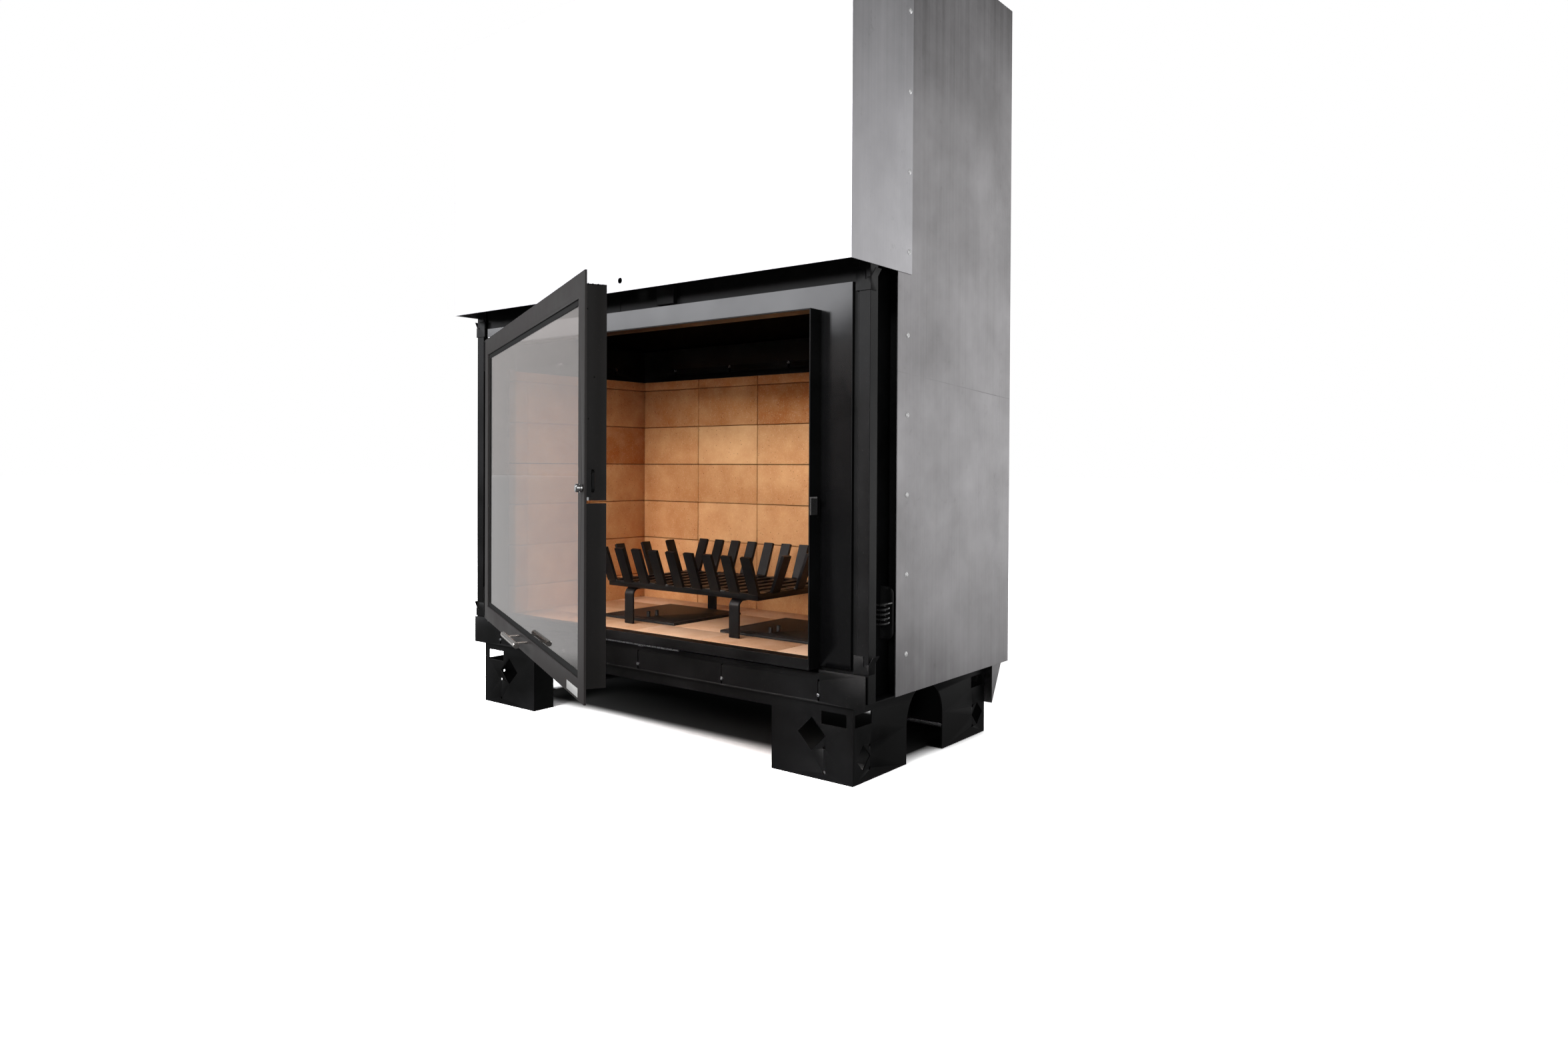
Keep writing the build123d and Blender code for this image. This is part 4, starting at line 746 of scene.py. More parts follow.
@dataclass
class SheetWork:
    """Every folded, cut or welded part whose CAD shape is right: it gets broken edges and a finish."""

    softened: dict[str, tuple[Finish, Edge]] = field(default_factory=lambda: {
        "base_front": (BLACK_STEEL, Edge.FOLDED), "base_rear": (BLACK_STEEL, Edge.FOLDED),
        "base_sides": (BLACK_STEEL, Edge.FOLDED), "base_deck": (BLACK_STEEL, Edge.FOLDED),
        "apron": (BLACK_STEEL, Edge.DEBURRED), "fascia": (FASCIA_PAINT, Edge.DEBURRED),
        "mouth_collar": (BLACK_STEEL, Edge.FOLDED), "hearth_sill": (BLACK_STEEL, Edge.FOLDED),
        "guide_rails": (BLACK_STEEL, Edge.FOLDED), "rail_clips": (BLACK_STEEL, Edge.DEBURRED),
        "lintel_plate": (BLACK_STEEL, Edge.FOLDED), "lintel_stop": (BLACK_STEEL, Edge.DEBURRED),
        "back_retainer": (BLACK_STEEL, Edge.DEBURRED), "side_retainers": (BLACK_STEEL, Edge.DEBURRED),
        "carriage_right": (BLACK_STEEL, Edge.FOLDED), "buffer_brackets": (BLACK_STEEL, Edge.FOLDED),
        "counterweights": (REAR_SHEET, Edge.FOLDED), "side_panels": (SIDE_SHEET, Edge.DEBURRED),
        "rear_skirt": (REAR_SHEET, Edge.DEBURRED), "top_panel": (REAR_SHEET, Edge.DEBURRED),
        "back_panel": (REAR_SHEET, Edge.DEBURRED),
        "ash_frames": (CAST_IRON, Edge.FOLDED), "ash_lid_left": (CAST_IRON, Edge.FOLDED),
        "ash_lid_right": (CAST_IRON, Edge.FOLDED), "log_basket": (GRATE_PAINT, Edge.ROLLED_BAR),
        "basket_legs": (GRATE_PAINT, Edge.ROLLED_BAR), "glass_retainer": (BLACK_STEEL, Edge.DEBURRED),
        "door_glass": (FIRE_GLASS, Edge.DEBURRED)})
    kept: dict[str, Finish] = field(default_factory=lambda: {
        "firebox_front": BLACK_STEEL, "firebox_side_left": BLACK_STEEL, "firebox_side_right": BLACK_STEEL,
        "firebox_back": BLACK_STEEL, "firebox_floor": BLACK_STEEL, "smoke_hood": BLACK_STEEL,
        "flue_spigot": BLACK_STEEL, "air_inlet_spigot": BLACK_STEEL, "ash_pits": BLACK_STEEL,
        "slide_guides": BLACK_STEEL, "pulley_hangers": BLACK_STEEL, "baffle_plate": BAFFLE,
        "buffer_springs": SPRING_PAINT, "lift_cables": CABLE, "lift_pulleys": CABLE, "hinge_pins": ZINC,
        "air_slide": ZINC, "glass_gasket": GASKET, "retainer_screws": ZINC})
    hinge: tuple[float, float] = (-515 * MM, -316 * MM)
    arm: float = 7 * MM
    bracket_side: tuple[float, float] = (-580 * MM, -575 * MM)
    bracket_front: float = -286 * MM
    bracket_fold: float = 2.5 * MM
    hole: tuple[float, float] = (0.0, 1035.4 * MM)
    hole_room: float = 6 * MM
    hole_wear: float = 1.5

    def tapered(self, corner: Vector) -> Vector:
        """Draws the door bracket back beside the fascia, so that its arms slant forwards to the pins.

        Args:
            corner: a corner of the part.

        Returns:
            Its new place.
        """
        outer, inner = self.bracket_side
        if corner.x > inner + NEAR:
            return corner
        if corner.y < self.hinge[1]:
            slope = (self.hinge[1] - self.arm - self.bracket_front) / (self.hinge[0] - outer)
            return Vector((corner.x, self.bracket_front + slope * (corner.x - outer), corner.z))
        if corner.y < self.hinge[1] + self.arm + NEAR:
            return Vector((corner.x, self.bracket_front + self.bracket_fold, corner.z))
        return corner

    def drilled(self, corner: Vector) -> Vector:
        """Opens the hole in the front of the casing by its deburred edge.

        Args:
            corner: a corner of the part.

        Returns:
            Its new place.
        """
        middle = Vector((self.hole[0], corner.y, self.hole[1]))
        if (corner - middle).length > self.hole_room:
            return corner
        return middle + (corner - middle) * self.hole_wear

    def build(self) -> list[bpy.types.Object]:
        """Softens the parts that show their edges and dresses the rest.

        Returns:
            The softened copies.
        """
        for node, finish in self.kept.items():
            dress(node, finish)
        pieces = [soften(node, finish, edge) for node, (finish, edge) in self.softened.items()]
        pieces.append(soften("carriage_left", BLACK_STEEL, Edge.FOLDED, self.tapered))
        pieces.append(soften("upper_casing", CASING_SHEET, Edge.DEBURRED, self.drilled))
        return pieces


@dataclass
class BrickLining:
    """Loose firebricks, each with worn edges and its own tone, in the courses of the CAD lining."""

    brick: float = 30 * MM
    joint: float = 1.4 * MM
    wear: float = 1.3 * MM
    play: float = 0.5 * MM
    column: float = 220 * MM
    half_width: float = 550 * MM
    front: float = -202 * MM
    back: float = 280 * MM
    floor: float = 196 * MM
    column_count: int = 5
    courses: tuple[float, ...] = (196.0, 297.0, 407.4, 517.8, 628.2, 738.6, 849.0, 881.0)
    frame_near: float = -90 * MM
    frame_far: float = 170 * MM
    frame_inner: float = 75 * MM
    frame_outer: float = 335 * MM
    crisp: float = math.radians(24)
    seed: int = 21
    # Tones, from 0 for the darkest orange to 1 for the palest tan, one row for each course from below.
    # On the back wall the two top courses are darker: painted shade below the lintel, over the bricks'
    # own tones.
    back_tones_and_shade: tuple[tuple[float, ...], ...] = (
        (0.5, 0.45, 0.6, 0.5, 0.4), (0.62, 0.45, 0.55, 0.5, 0.6), (0.5, 0.8, 0.7, 0.45, 0.6),
        (0.5, 0.55, 0.6, 0.6, 0.4), (0.48, 0.85, 0.6, 0.5, 0.7), (0.3, 0.3, 0.08, 0.4, 0.4),
        (0.3, 0.25, 0.2, 0.4, 0.4))
    side_tones: tuple[tuple[float, ...], ...] = (
        (0.5, 0.6, 0.5), (0.4, 0.6, 0.45), (0.5, 0.4, 0.55), (0.4, 0.6, 0.6), (0.5, 0.5, 0.12),
        (0.6, 0.5, 0.4), (0.4, 0.5, 0.3))

    def lay(self, shape: bmesh.types.BMesh, low: Sequence[float], high: Sequence[float],
            chance: random.Random, tone: float) -> None:
        """Lays one brick with rounded edges, a little smaller than its place.

        Args:
            shape: mesh of the wall that it belongs to.
            low: lowest corner of its place.
            high: highest corner of its place.
            chance: seeded source of its size.
            tone: from 0, the darkest orange, to 1, the palest tan.
        """
        low = [value + chance.uniform(0, self.play) for value in low]
        high = [value - chance.uniform(0, self.play) for value in high]
        layer = shape.verts.layers.float["tone"]
        corners = block(shape, low, high)
        for vert in corners:
            vert[layer] = tone
        bevelled(shape, edges_of(corners), self.wear, 2)

    def wall(self, name: str, node: str, finish: Finish, boxes: Iterable[tuple[Spot, Spot]],
             tones: Sequence[Sequence[float]] = ()) -> bpy.types.Object:
        """Lays a wall or floor of bricks and lets it stand for its CAD node.

        Args:
            name: name of the piece.
            node: the CAD node that it replaces.
            finish: kind of fireclay.
            boxes: lowest and highest corner of each place, column by column from the bottom up.
            tones: the bricks' tones, with any painted shade in them, one row for each course from the
                bottom up. Without it they vary.

        Returns:
            The wall's object.
        """
        chance = random.Random(self.seed + len(name))
        given = iter([tone for column in zip(*tones) for tone in column])
        shape = bmesh.new()
        shape.verts.layers.float.new("tone")
        for low, high in boxes:
            varied = min(max(chance.gauss(0.5, 0.2), 0.1), 0.9)
            self.lay(shape, low, high, chance, next(given, varied))
        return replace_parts(stand(shape, name, finish, "insert", self.crisp), node)

    def build(self) -> list[bpy.types.Object]:
        """Lays the back, both sides and the floor.

        Returns:
            The four linings.
        """
        half, rows = self.joint / 2, [z * MM for z in self.courses]
        columns = [-self.half_width + self.column * number for number in range(self.column_count + 1)]
        depths = [self.front, self.back - 2 * self.column, self.back - self.column,
                  self.back + self.brick]
        bands = list(zip(rows, rows[1:]))
        pieces = [self.wall("back_brickwork", "back_bricks", FIREBRICK, [
            ((left + half, self.back, low), (right - half, self.back + self.brick, high - self.joint))
            for left, right in zip(columns, columns[1:])
            for low, high in bands], self.back_tones_and_shade)]
        for side, name in ((-1, "left"), (1, "right")):
            near, far = sorted((side * self.half_width, side * (self.half_width + self.brick)))
            pieces.append(self.wall(f"{name}_brickwork", f"{name}_bricks", FIREBRICK, [
                ((near, start + half, low), (far, end - half, high - self.joint))
                for start, end in zip(depths, depths[1:]) for low, high in bands], self.side_tones))
        tiles = []
        for start, end in ((self.front, self.frame_near), (self.frame_far, self.back)):
            tiles += [(left, start, right, end) for left, right in zip(columns, columns[1:])]
        for left, right in ((-self.half_width, -self.frame_outer), (-self.frame_inner, self.frame_inner),
                            (self.frame_outer, self.half_width)):
            tiles.append((left, self.frame_near, right, self.frame_far))
        pieces.append(self.wall("hearth_tiles", "floor_bricks", HEARTH_TILE, [
            ((x0 + half, y0 + half, self.floor), (x1 - half, y1 - half, self.floor + self.brick))
            for x0, y0, x1, y1 in tiles]))
        return pieces


@dataclass
class CoverRivets:
    """Dome-headed blind rivets that hold the outer covers."""

    flange: float = 5.5 * MM
    rim: float = 0.4 * MM
    rise: float = 2.5 * MM
    mandrel: float = 1.4 * MM
    behind: float = -141 * MM
    pitch: float = 161 * MM
    steps: int = 20
    # Distance of the cover from the middle, level of its lowest rivet, and how many it has.
    rows: tuple[tuple[float, float, int], ...] = (
        (615 * MM, 244 * MM, 5), (617 * MM, 1054.6 * MM, 4))

    def build(self) -> list[bpy.types.Object]:
        """Spins a head with its mandrel hole at every place.

        Returns:
            The rivet heads, as one piece.
        """
        profile = [(0, 0), (self.flange, 0), (self.flange, self.rim),
                   (self.flange * 0.62, self.rise * 0.86), (self.flange * 0.4, self.rise),
                   (self.mandrel, self.rise),
                   (self.mandrel * 0.8, self.rise * 0.4), (0, self.rise * 0.4)]
        shape = bmesh.new()
        for side in (-1, 1):
            for surface, first, count in self.rows:
                for row in range(count):
                    spot = (side * surface, self.behind, first + row * self.pitch)
                    turned(shape, profile, facing(spot, (side, 0, 0)), self.steps)
        return [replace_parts(stand(shape, "cover_rivet_heads", ALUMINIUM, "insert"), "cover_rivets")]


@dataclass
class DoorPlaces:
    """The open door's own directions, and the sizes that its leaf and its latch share."""

    hinge: Spot = (-515 * MM, -316 * MM, 0.0)
    opening: float = math.radians(27.9)
    face: float = -10 * MM
    leaf: float = 4 * MM
    flange_reach: float = 1022 * MM
    latch_reach: float = 1030 * MM
    latch_level: float = 585 * MM
    block_side: float = 5.6 * MM

    def __post_init__(self) -> None:
        """Works out the door's directions: along it from the hinge, and inwards through it."""
        self.along = Vector((math.cos(self.opening), -math.sin(self.opening), 0))
        self.inwards = Vector((math.sin(self.opening), math.cos(self.opening), 0))

    def point(self, reach: float, depth: float, level: float) -> Vector:
        """Point on the door at this reach from the hinge, depth behind it and level."""
        return Vector(self.hinge) + self.along * reach + self.inwards * depth + UP * level

    def place_of(self, corner: Vector) -> Spot:
        """Reach from the hinge, depth and level of a point on the door."""
        away = corner - Vector(self.hinge)
        return away.dot(self.along), away.dot(self.inwards), corner.z


@dataclass
class Door(DoorPlaces):
    """The door's leaf with its welds, handle and plate."""

    reach: float = 1043 * MM
    overhang: float = 13 * MM
    flange_sheet: float = 2 * MM
    flange_top: float = 924 * MM
    # The notch as it is, and the levels between which the corners of the CAD notch lie.
    notch: tuple[float, float] = (559.2 * MM, 563.8 * MM)
    notch_floor: tuple[float, float] = (520 * MM, 522 * MM)
    notch_roof: tuple[float, float] = (568 * MM, 603 * MM)
    # Weld beads: depth or level of each, in millimetres, and their sizes.
    seam_levels: tuple[float, ...] = (573.0, 580.0, 588.0, 596.0, 604.0, 612.0)
    seam_inset: tuple[float, float] = (0.4 * MM, 0.6 * MM)
    top_depths: tuple[float, ...] = (1.0, 9.0, 18.0, 26.0)
    spots: tuple[tuple[float, float], ...] = ((0.0, 883.0), (12.0, 770.0), (2.0, 700.0))
    bead_sizes: tuple[float, float, float] = (1.7 * MM, 1.5 * MM, 1.3 * MM)
    bead_flatness: float = 0.8
    bead_stretch: tuple[float, float] = (0.9, 1.5)
    weld_seed: int = 4
    handle_level: float = 254.5 * MM
    handle_radius: float = 6 * MM
    handle_length: float = 156 * MM
    # Chamfer and depth of the handle's end caps, with the groove where each cap meets the bar.
    cap_chamfer: float = 0.8 * MM
    cap: float = 7 * MM
    groove: tuple[float, float] = (0.6 * MM, 0.35 * MM)
    post_radius: float = 2.5 * MM
    post_spacing: float = 91 * MM
    stand_off: float = 28.5 * MM
    plate_reach: float = 962 * MM
    plate_level: float = 239.5 * MM
    plate_half: tuple[float, float] = (40 * MM, 7.7 * MM)
    plate_sheet: float = 0.8 * MM
    plate_edge: float = 0.3 * MM

    def notched(self, corner: Vector) -> Vector:
        """Narrows the notch in the free flange to what the tab of the strike needs.

        Args:
            corner: a corner of the part.

        Returns:
            Its new place.
        """
        reach, depth, level = self.place_of(corner)
        if self.flange_reach - self.flange_sheet - NEAR < reach < self.flange_reach + NEAR:
            for (low, high), new in zip((self.notch_floor, self.notch_roof), self.notch):
                if low < level < high:
                    return self.point(reach, depth, new)
        return corner

    def welds(self) -> bpy.types.Object:
        """Weld beads beside the block, and spots along the free flange.

        Returns:
            The piece's object.
        """
        shape = bmesh.new()
        chance = random.Random(self.weld_seed)
        seam, top, spot = self.bead_sizes
        sunk, proud = self.seam_inset
        corner = (self.latch_reach + self.block_side - sunk, self.face + self.leaf + proud)
        beads = [(*corner, level * MM, seam) for level in self.seam_levels]
        beads += [(self.flange_reach, depth * MM, self.flange_top, top) for depth in self.top_depths]
        beads += [(self.flange_reach, depth * MM, level * MM, spot) for depth, level in self.spots]
        for reach, depth, level, size in beads:
            tall = size * chance.uniform(*self.bead_stretch)
            squash = Matrix.Diagonal((size, size * self.bead_flatness, tall, 1))
            place = Matrix.Translation(self.point(reach, depth, level)) @ squash
            bmesh.ops.create_icosphere(shape, subdivisions=2, radius=1.0, matrix=place)
        return stand(shape, "door_welds", GRATE_PAINT, "door")

    def handle(self) -> bpy.types.Object:
        """Round bar on two posts, its ends chamfered and capped.

        Returns:
            The piece's object.
        """
        middle = (self.reach - self.overhang) / 2
        depth, radius = self.face - self.stand_off, self.handle_radius
        wide, deep = self.groove
        end = [(0, 0), (radius - self.cap_chamfer, 0), (radius, self.cap_chamfer), (radius, self.cap),
               (radius - deep, self.cap + wide / 2), (radius, self.cap + wide)]
        bar = end + [(across, self.handle_length - height) for across, height in reversed(end)]
        post = [(0, 0), (self.post_radius, 0), (self.post_radius, self.stand_off), (0, self.stand_off)]
        shape = bmesh.new()
        start = self.point(middle - self.handle_length / 2, depth, self.handle_level)
        turned(shape, bar, facing(start, self.along), 40)
        for side in (-1, 1):
            foot = self.point(middle + side * self.post_spacing / 2, self.face, self.handle_level)
            turned(shape, post, facing(foot, -self.inwards), 20)
        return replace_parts(stand(shape, "handle_bar", STAINLESS, "door"), "door_handle")

    def blank_plate(self) -> bpy.types.Object:
        """Small plain bright plate on the lower border of the door.

        Returns:
            The piece's object.
        """
        shape = bmesh.new()
        spot = self.point(self.plate_reach, self.face, self.plate_level)
        half, tall = self.plate_half
        corners = block(shape, (-half, 0, -tall), (half, self.plate_sheet, tall),
                        aligned(spot, self.along, -self.inwards, UP))
        bevelled(shape, edges_of(corners), self.plate_edge, 2)
        return stand(shape, "blank_plate", BLANK_PLATE, "door")

    def build(self) -> list[bpy.types.Object]:
        """Makes the leaf and what is fixed to it.

        Returns:
            The pieces.
        """
        leaf = soften("door_frame", DOOR_PAINT, Edge.DEBURRED, self.notched)
        return [leaf, self.welds(), self.handle(), self.blank_plate()]


@dataclass
class Latch(DoorPlaces):
    """The latch: knob, lever and block on the door, and the strike on the mouth that it shuts behind."""

    shaft: float = 14.7 * MM
    shaft_radius: float = 5 * MM
    knob_seat: float = 0.3 * MM
    # Radius and height of each point of the knob, in millimetres from its seat.
    knob_profile: tuple[tuple[float, float], ...] = (
        (5.0, 0.0), (6.0, 0.0), (7.0, 1.0), (7.0, 4.2), (5.4, 4.8), (5.4, 5.6), (7.0, 6.2), (7.0, 10.4),
        (5.4, 12.0), (0.0, 12.0))
    lever_radius: float = 7.5 * MM
    lever_front: float = 4.4 * MM
    block_levels: tuple[float, float] = (570 * MM, 616 * MM)
    block_bore: float = 5.2 * MM
    block_gap: float = 0.5 * MM
    nose: tuple[float, float, float] = (11 * MM, 6 * MM, 5.5 * MM)
    nose_bevel: float = 3 * MM
    strike_side: float = 499 * MM
    strike_front: float = -315 * MM
    strike_levels: tuple[float, float] = (527 * MM, 563 * MM)
    strike_tab: tuple[float, float, float] = (17 * MM, 3 * MM, 3 * MM)
    strike_leg: tuple[float, float] = (3 * MM, 22 * MM)
    strike_overlap: float = 0.5 * MM
    strike_edge: float = 0.4 * MM

    def rounded(self, corner: Vector) -> Vector:
        """Rounds the lever's short end about its spindle.

        Args:
            corner: a corner of the part.

        Returns:
            Its new place.
        """
        if corner.z < self.latch_level - self.lever_radius + NEAR:
            return corner + Vector((0, 0, self.lever_radius))
        return corner

    def strike(self) -> bpy.types.Object:
        """Flat leg on the side of the mouth collar, with the tab that the lever turns in behind.

        Returns:
            The piece's object.
        """
        shape = bmesh.new()
        low, high = self.strike_levels
        thick, deep = self.strike_leg
        out, sheet, tall = self.strike_tab
        block(shape, (self.strike_side, self.strike_front, low),
              (self.strike_side + thick, self.strike_front + deep, high))
        block(shape, (self.strike_side + thick - self.strike_overlap, self.strike_front, high - tall),
              (self.strike_side + out, self.strike_front + sheet, high))
        bevelled(shape, shape.edges[:], self.strike_edge)
        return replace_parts(stand(shape, "strike_plate", SPRING_PAINT, "insert"), "strike")

    def block(self) -> bpy.types.Object:
        """Block that the spindle turns in, welded into the corner of plate and flange.

        Returns:
            The piece's object.
        """
        shape = bmesh.new()
        low, high = (level - self.latch_level for level in self.block_levels)
        back = self.lever_front - self.block_gap
        spot = self.point(self.latch_reach, back, self.latch_level)
        bored(shape, (self.flange_reach - self.latch_reach, low), (self.block_side, high),
              back - self.face - self.leaf, self.block_bore, aligned(spot, self.along, UP, -self.inwards))
        return stand(shape, "latch_block", GRATE_PAINT, "door")

    def bright_nose(self) -> bpy.types.Object:
        """Bright bevelled end below the block.

        Returns:
            The piece's object.
        """
        shape = bmesh.new()
        spot = self.point(self.flange_reach, 0, self.block_levels[0])
        out, deep, tall = self.nose
        corners = block(shape, (self.block_gap, -deep, -tall), (out, 0, 0),
                        aligned(spot, self.along, self.inwards, UP))
        places = {vert: self.place_of(vert.co) for vert in corners}
        tip = min(corners, key=lambda vert: (vert.co.z, -places[vert][0], -places[vert][1]))
        upright = [edge for edge in tip.link_edges if abs(edge.verts[0].co.z - edge.verts[1].co.z) > MM]
        bevelled(shape, upright, self.nose_bevel)
        return stand(shape, "latch_nose", ZINC, "door")

    def knob(self) -> bpy.types.Object:
        """Turned head of the latch spindle, with a groove and a chamfered rim.

        Returns:
            The piece's object.
        """
        shape = bmesh.new()
        seat = self.point(self.latch_reach, self.face - self.knob_seat, self.latch_level)
        profile = [(0, -self.shaft), (self.shaft_radius, -self.shaft)]
        profile += [(radius * MM, height * MM) for radius, height in self.knob_profile]
        turned(shape, profile, facing(seat, -self.inwards))
        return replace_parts(stand(shape, "latch_knob", CHROME, "latch"), "latch_spindle")

    def build(self) -> list[bpy.types.Object]:
        """Makes both halves of the latch.

        Returns:
            The pieces.
        """
        lever = soften("latch_lever", BLACK_STEEL, Edge.FILED, self.rounded)
        return [lever, self.strike(), self.block(), self.bright_nose(), self.knob()]


@dataclass
class ApronScrews:
    """Pan-head screws in the slots of the apron."""

    places: tuple[float, ...] = (-504 * MM, -252 * MM, 0.0, 252 * MM, 504 * MM)
    level: float = 170 * MM
    face: float = -289 * MM
    steps: int = 20
    # Radius and height of each point, in millimetres from the face of the apron.
    profile: tuple[tuple[float, float], ...] = (
        (0.0, -2.0), (1.9, -2.0), (1.9, 0.0), (4.0, 0.0), (4.0, 0.8), (3.3, 2.1), (2.2, 2.5), (1.4, 2.5),
        (1.1, 1.2), (0.0, 1.1))

    def build(self) -> list[bpy.types.Object]:
        """Spins a domed head with a recess for each slot.

        Returns:
            The screws, as one piece.
        """
        profile = [(radius * MM, height * MM) for radius, height in self.profile]
        shape = bmesh.new()
        for across in self.places:
            turned(shape, profile, facing((across, self.face, self.level), (0, -1, 0)), self.steps)
        return [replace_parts(stand(shape, "apron_screw_heads", ZINC, "insert"), "apron_screws")]


# ------------------------------------------------------------------------------------------
# Studio
# ------------------------------------------------------------------------------------------


@dataclass(frozen=True)
class Lamp:
    """Soft lamp: where it hangs, what it aims at, how large it is, and its power in watts."""

    name: str
    place: Spot
    target: Spot
    size: tuple[float, float]
    power: float
    tint: Spot = (1.0, 1.0, 1.0)


@dataclass(frozen=True)
class Glow:
    """Part of the floor that glows in glossy surfaces only, as a painted reflection.

    Each of its spans is an axis of the floor and where along it the light sets in and is full.
    """

    strength: float
    spans: tuple[tuple[str, float, float], ...]


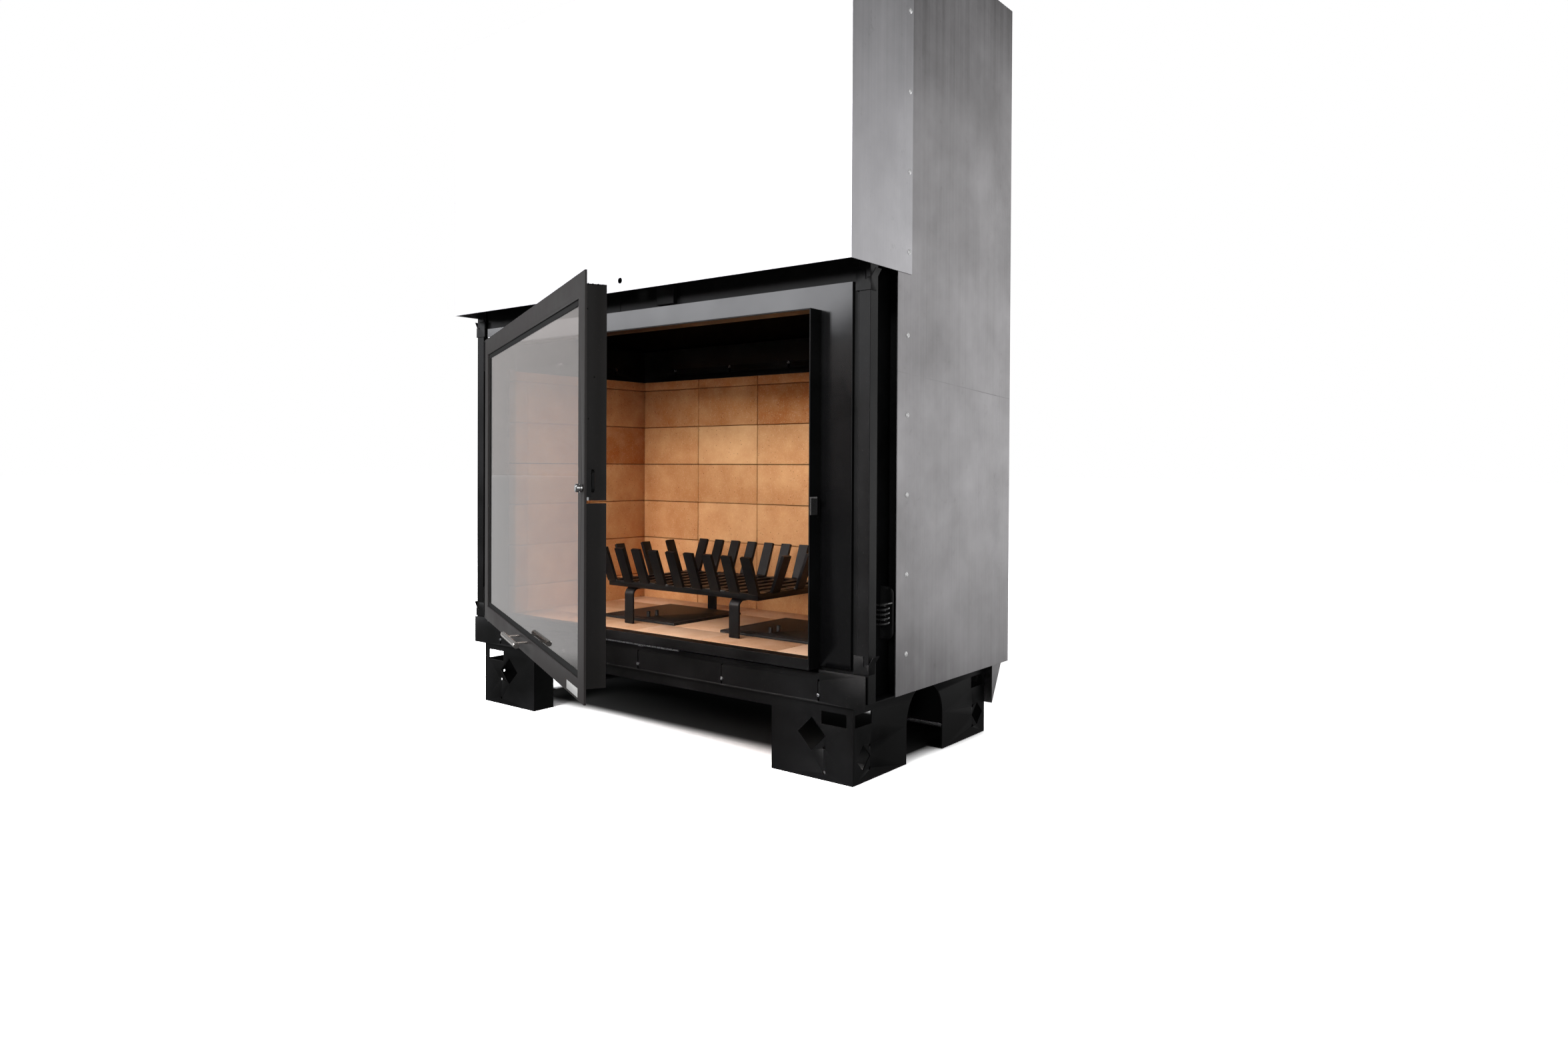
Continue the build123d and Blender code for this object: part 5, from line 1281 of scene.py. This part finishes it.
@dataclass
class Studio:
    """Plain pale room with soft lamps, and the camera where the photographer stood."""

    position: tuple[float, float, float] = (1.68033, -1.95477, 0.62197)
    azimuth: float = math.radians(39.0864)
    tilt: float = math.radians(-0.6171)
    roll: float = math.radians(0.2606)
    lens: float = 23.67
    shift: tuple[float, float] = (0.02164, -0.02866)
    daylight: float = 0.24
    dim: float = 0.12
    view_end: float = 200.0
    floor_reach: float = 60.0
    # How light the floor is to the eye, to everything else, and in the painted shadow right below the
    # object.
    floor_white: float = 4.2
    floor_plain: float = 0.5
    floor_painted_shadow: float = 0.03
    # Distances from the middle over which the painted shadow below the object fades in: aside, front and
    # back.
    painted_shadow_side: tuple[float, float] = (0.6, 0.54)
    painted_shadow_ends: tuple[tuple[float, float], ...] = ((-0.27, -0.13), (0.29, 0.24))
    glows: tuple[Glow, ...] = (
        Glow(0.6, (("Y", -1.1, -0.65), ("X", -0.8, -1.3))),
        Glow(0.6, (("Y", 0.5, 1.2),)),
        Glow(0.95, (("Y", 0.5, 1.2), ("X", 0.0, 0.5))),
    )
    lamps: tuple[Lamp, ...] = (
        Lamp("key_softbox", (-3.0, -3.4, 2.5), (0.0, -0.2, 1.9), (3.0, 2.2), 142.0, (0.96, 0.965, 1.0)),
        Lamp("front_softbox", (0.3, -4.6, 2.3), (0.0, 0.0, 0.4), (1.6, 1.2), 300.0),
        Lamp("left_flat", (-4.2, 1.3, 2.056), (0.0, -0.4, 2.056), (4.0, 3.0), 9.5),
        Lamp("side_flat", (3.6, -1.3, 1.2), (0.4, -0.7, 0.6), (2.0, 2.0), 16.0),
        Lamp("right_flat", (2.6, 3.4, 1.4), (0.6, 0.1, 0.8), (3.4, 3.0), 38.0),
    )

    def camera(self) -> None:
        """Sets the camera at the photograph's place, angle and framing."""
        data = bpy.data.cameras.new("camera")
        data.sensor_width = 36.0
        data.lens = self.lens
        data.shift_x, data.shift_y = self.shift
        data.clip_end = self.view_end
        camera = bpy.data.objects.new("camera", data)
        camera.matrix_world = (Matrix.Translation(self.position) @ Matrix.Rotation(self.azimuth, 4, "Z")
                               @ Matrix.Rotation(math.pi / 2 + self.tilt, 4, "X")
                               @ Matrix.Rotation(self.roll, 4, "Z"))
        bpy.context.scene.collection.objects.link(camera)
        bpy.context.scene.camera = camera

    def lights(self) -> None:
        """Hangs the soft lamps and aims each at the object."""
        for lamp in self.lamps:
            data = bpy.data.lights.new(lamp.name, "AREA")
            data.shape, data.energy, data.color = "RECTANGLE", lamp.power, lamp.tint
            data.size, data.size_y = lamp.size
            hung = bpy.data.objects.new(lamp.name, data)
            aim = (Vector(lamp.target) - Vector(lamp.place)).to_track_quat("-Z", "Y").to_matrix().to_4x4()
            hung.matrix_world = Matrix.Translation(lamp.place) @ aim
            bpy.context.scene.collection.objects.link(hung)

    def background(self) -> None:
        """White to the eye and through glass, dim in glossy surfaces, and plain daylight for the rest."""
        world = bpy.data.worlds.new("room")
        world.use_nodes = True
        tree = world.node_tree
        tree.nodes.clear()
        ray = add_node(tree, "ShaderNodeLightPath")
        seen = add_node(tree, "ShaderNodeMath", {"operation": "MAXIMUM"}, {
            0: ray.outputs["Is Camera Ray"], 1: ray.outputs["Is Transmission Ray"]}).outputs[0]
        plain = add_node(tree, "ShaderNodeMapRange", inputs={
            "Value": ray.outputs["Is Glossy Ray"], "To Min": self.daylight,
            "To Max": self.dim}).outputs["Result"]
        strength = add_node(tree, "ShaderNodeMath", {"operation": "MAXIMUM"}, {
            0: plain, 1: seen}).outputs[0]
        sky = add_node(tree, "ShaderNodeBackground", inputs={
            "Color": (1.0, 1.0, 1.0, 1.0), "Strength": strength}).outputs["Background"]
        add_node(tree, "ShaderNodeOutputWorld", inputs={"Surface": sky})
        bpy.context.scene.world = world

    def floor_paint(self) -> bpy.types.Material:
        """White paint that keeps the object's shadow and adds a painted shadow right below it; in glossy
        surfaces it is as dim as the room, but for patches that glow there as a painted reflection.

        Returns:
            The floor's material.
        """
        paint = bpy.data.materials.new("white_studio_floor")
        paint.use_nodes = True
        tree = paint.node_tree
        tree.nodes.clear()
        ray = add_node(tree, "ShaderNodeLightPath")
        spot = add_node(tree, "ShaderNodeTexCoord").outputs["Object"]
        place = add_node(tree, "ShaderNodeSeparateXYZ", inputs={"Vector": spot})
        # Painted shadow: the floor is made nearly black right below the object, fading out at its sides,
        # front and back.
        aside = add_node(tree, "ShaderNodeMath", {"operation": "ABSOLUTE"}, {
            0: place.outputs["X"]}).outputs[0]
        painted_shadow = add_node(tree, "ShaderNodeMapRange", inputs={
            "Value": aside, "From Min": self.painted_shadow_side[0],
            "From Max": self.painted_shadow_side[1]}).outputs["Result"]
        for outer, inner in self.painted_shadow_ends:
            end = add_node(tree, "ShaderNodeMapRange", {"interpolation_type": "SMOOTHSTEP"}, {
                "Value": place.outputs["Y"], "From Min": outer, "From Max": inner}).outputs["Result"]
            painted_shadow = add_node(tree, "ShaderNodeMath", {"operation": "MULTIPLY"}, {
                0: painted_shadow, 1: end}).outputs[0]
        white = add_node(tree, "ShaderNodeMapRange", inputs={
            "Value": ray.outputs["Is Camera Ray"], "To Min": self.floor_plain,
            "To Max": self.floor_white}).outputs["Result"]
        shade = add_node(tree, "ShaderNodeMix", {"data_type": "FLOAT"}, {
            "Factor": painted_shadow, 2: white, 3: self.floor_painted_shadow}).outputs[0]
        matt = add_node(tree, "ShaderNodeBsdfDiffuse", inputs={"Color": shade}).outputs["BSDF"]
        # Painted reflection: in glossy surfaces the floor glows, brighter in the patches of each Glow.
        painted_glow = self.dim
        for glow in self.glows:
            part = glow.strength
            for axis, start, full in glow.spans:
                fade = add_node(tree, "ShaderNodeMapRange", inputs={
                    "Value": place.outputs[axis], "From Min": start, "From Max": full}).outputs["Result"]
                part = add_node(tree, "ShaderNodeMath", {"operation": "MULTIPLY"}, {
                    0: fade, 1: part}).outputs[0]
            painted_glow = add_node(tree, "ShaderNodeMath", {"operation": "MAXIMUM"}, {
                0: part, 1: painted_glow}).outputs[0]
        plain = add_node(tree, "ShaderNodeEmission", inputs={
            "Color": (1.0, 1.0, 1.0, 1.0), "Strength": painted_glow}).outputs["Emission"]
        both = add_node(tree, "ShaderNodeMixShader", inputs={
            0: ray.outputs["Is Glossy Ray"], 1: matt, 2: plain}).outputs["Shader"]
        add_node(tree, "ShaderNodeOutputMaterial", inputs={"Surface": both})
        return paint

    def floor(self) -> None:
        """Lays the floor, so wide that its edge is the horizon."""
        shape = bmesh.new()
        bmesh.ops.create_grid(shape, x_segments=1, y_segments=1, size=self.floor_reach)
        mesh = bpy.data.meshes.new("floor")
        shape.to_mesh(mesh)
        shape.free()
        mesh.materials.append(self.floor_paint())
        ground = bpy.data.objects.new("floor", mesh)
        bpy.context.scene.collection.objects.link(ground)

    def build(self) -> None:
        """Sets up the whole studio."""
        self.camera()
        self.lights()
        self.background()
        self.floor()
        bpy.context.scene.view_settings.view_transform = "Standard"


def main() -> None:
    """Builds the studio and every sub-assembly, and reports each piece."""
    logging.basicConfig(level=logging.INFO, format="%(name)s: %(message)s")
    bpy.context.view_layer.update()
    Studio().build()
    for assembly in (SheetWork(), BrickLining(), CoverRivets(), Door(), Latch(), ApronScrews()):
        for piece in assembly.build():
            log.info("%s: %s, %d faces", type(assembly).__name__, piece.name, len(piece.data.polygons))


if __name__ == "__main__":
    main()
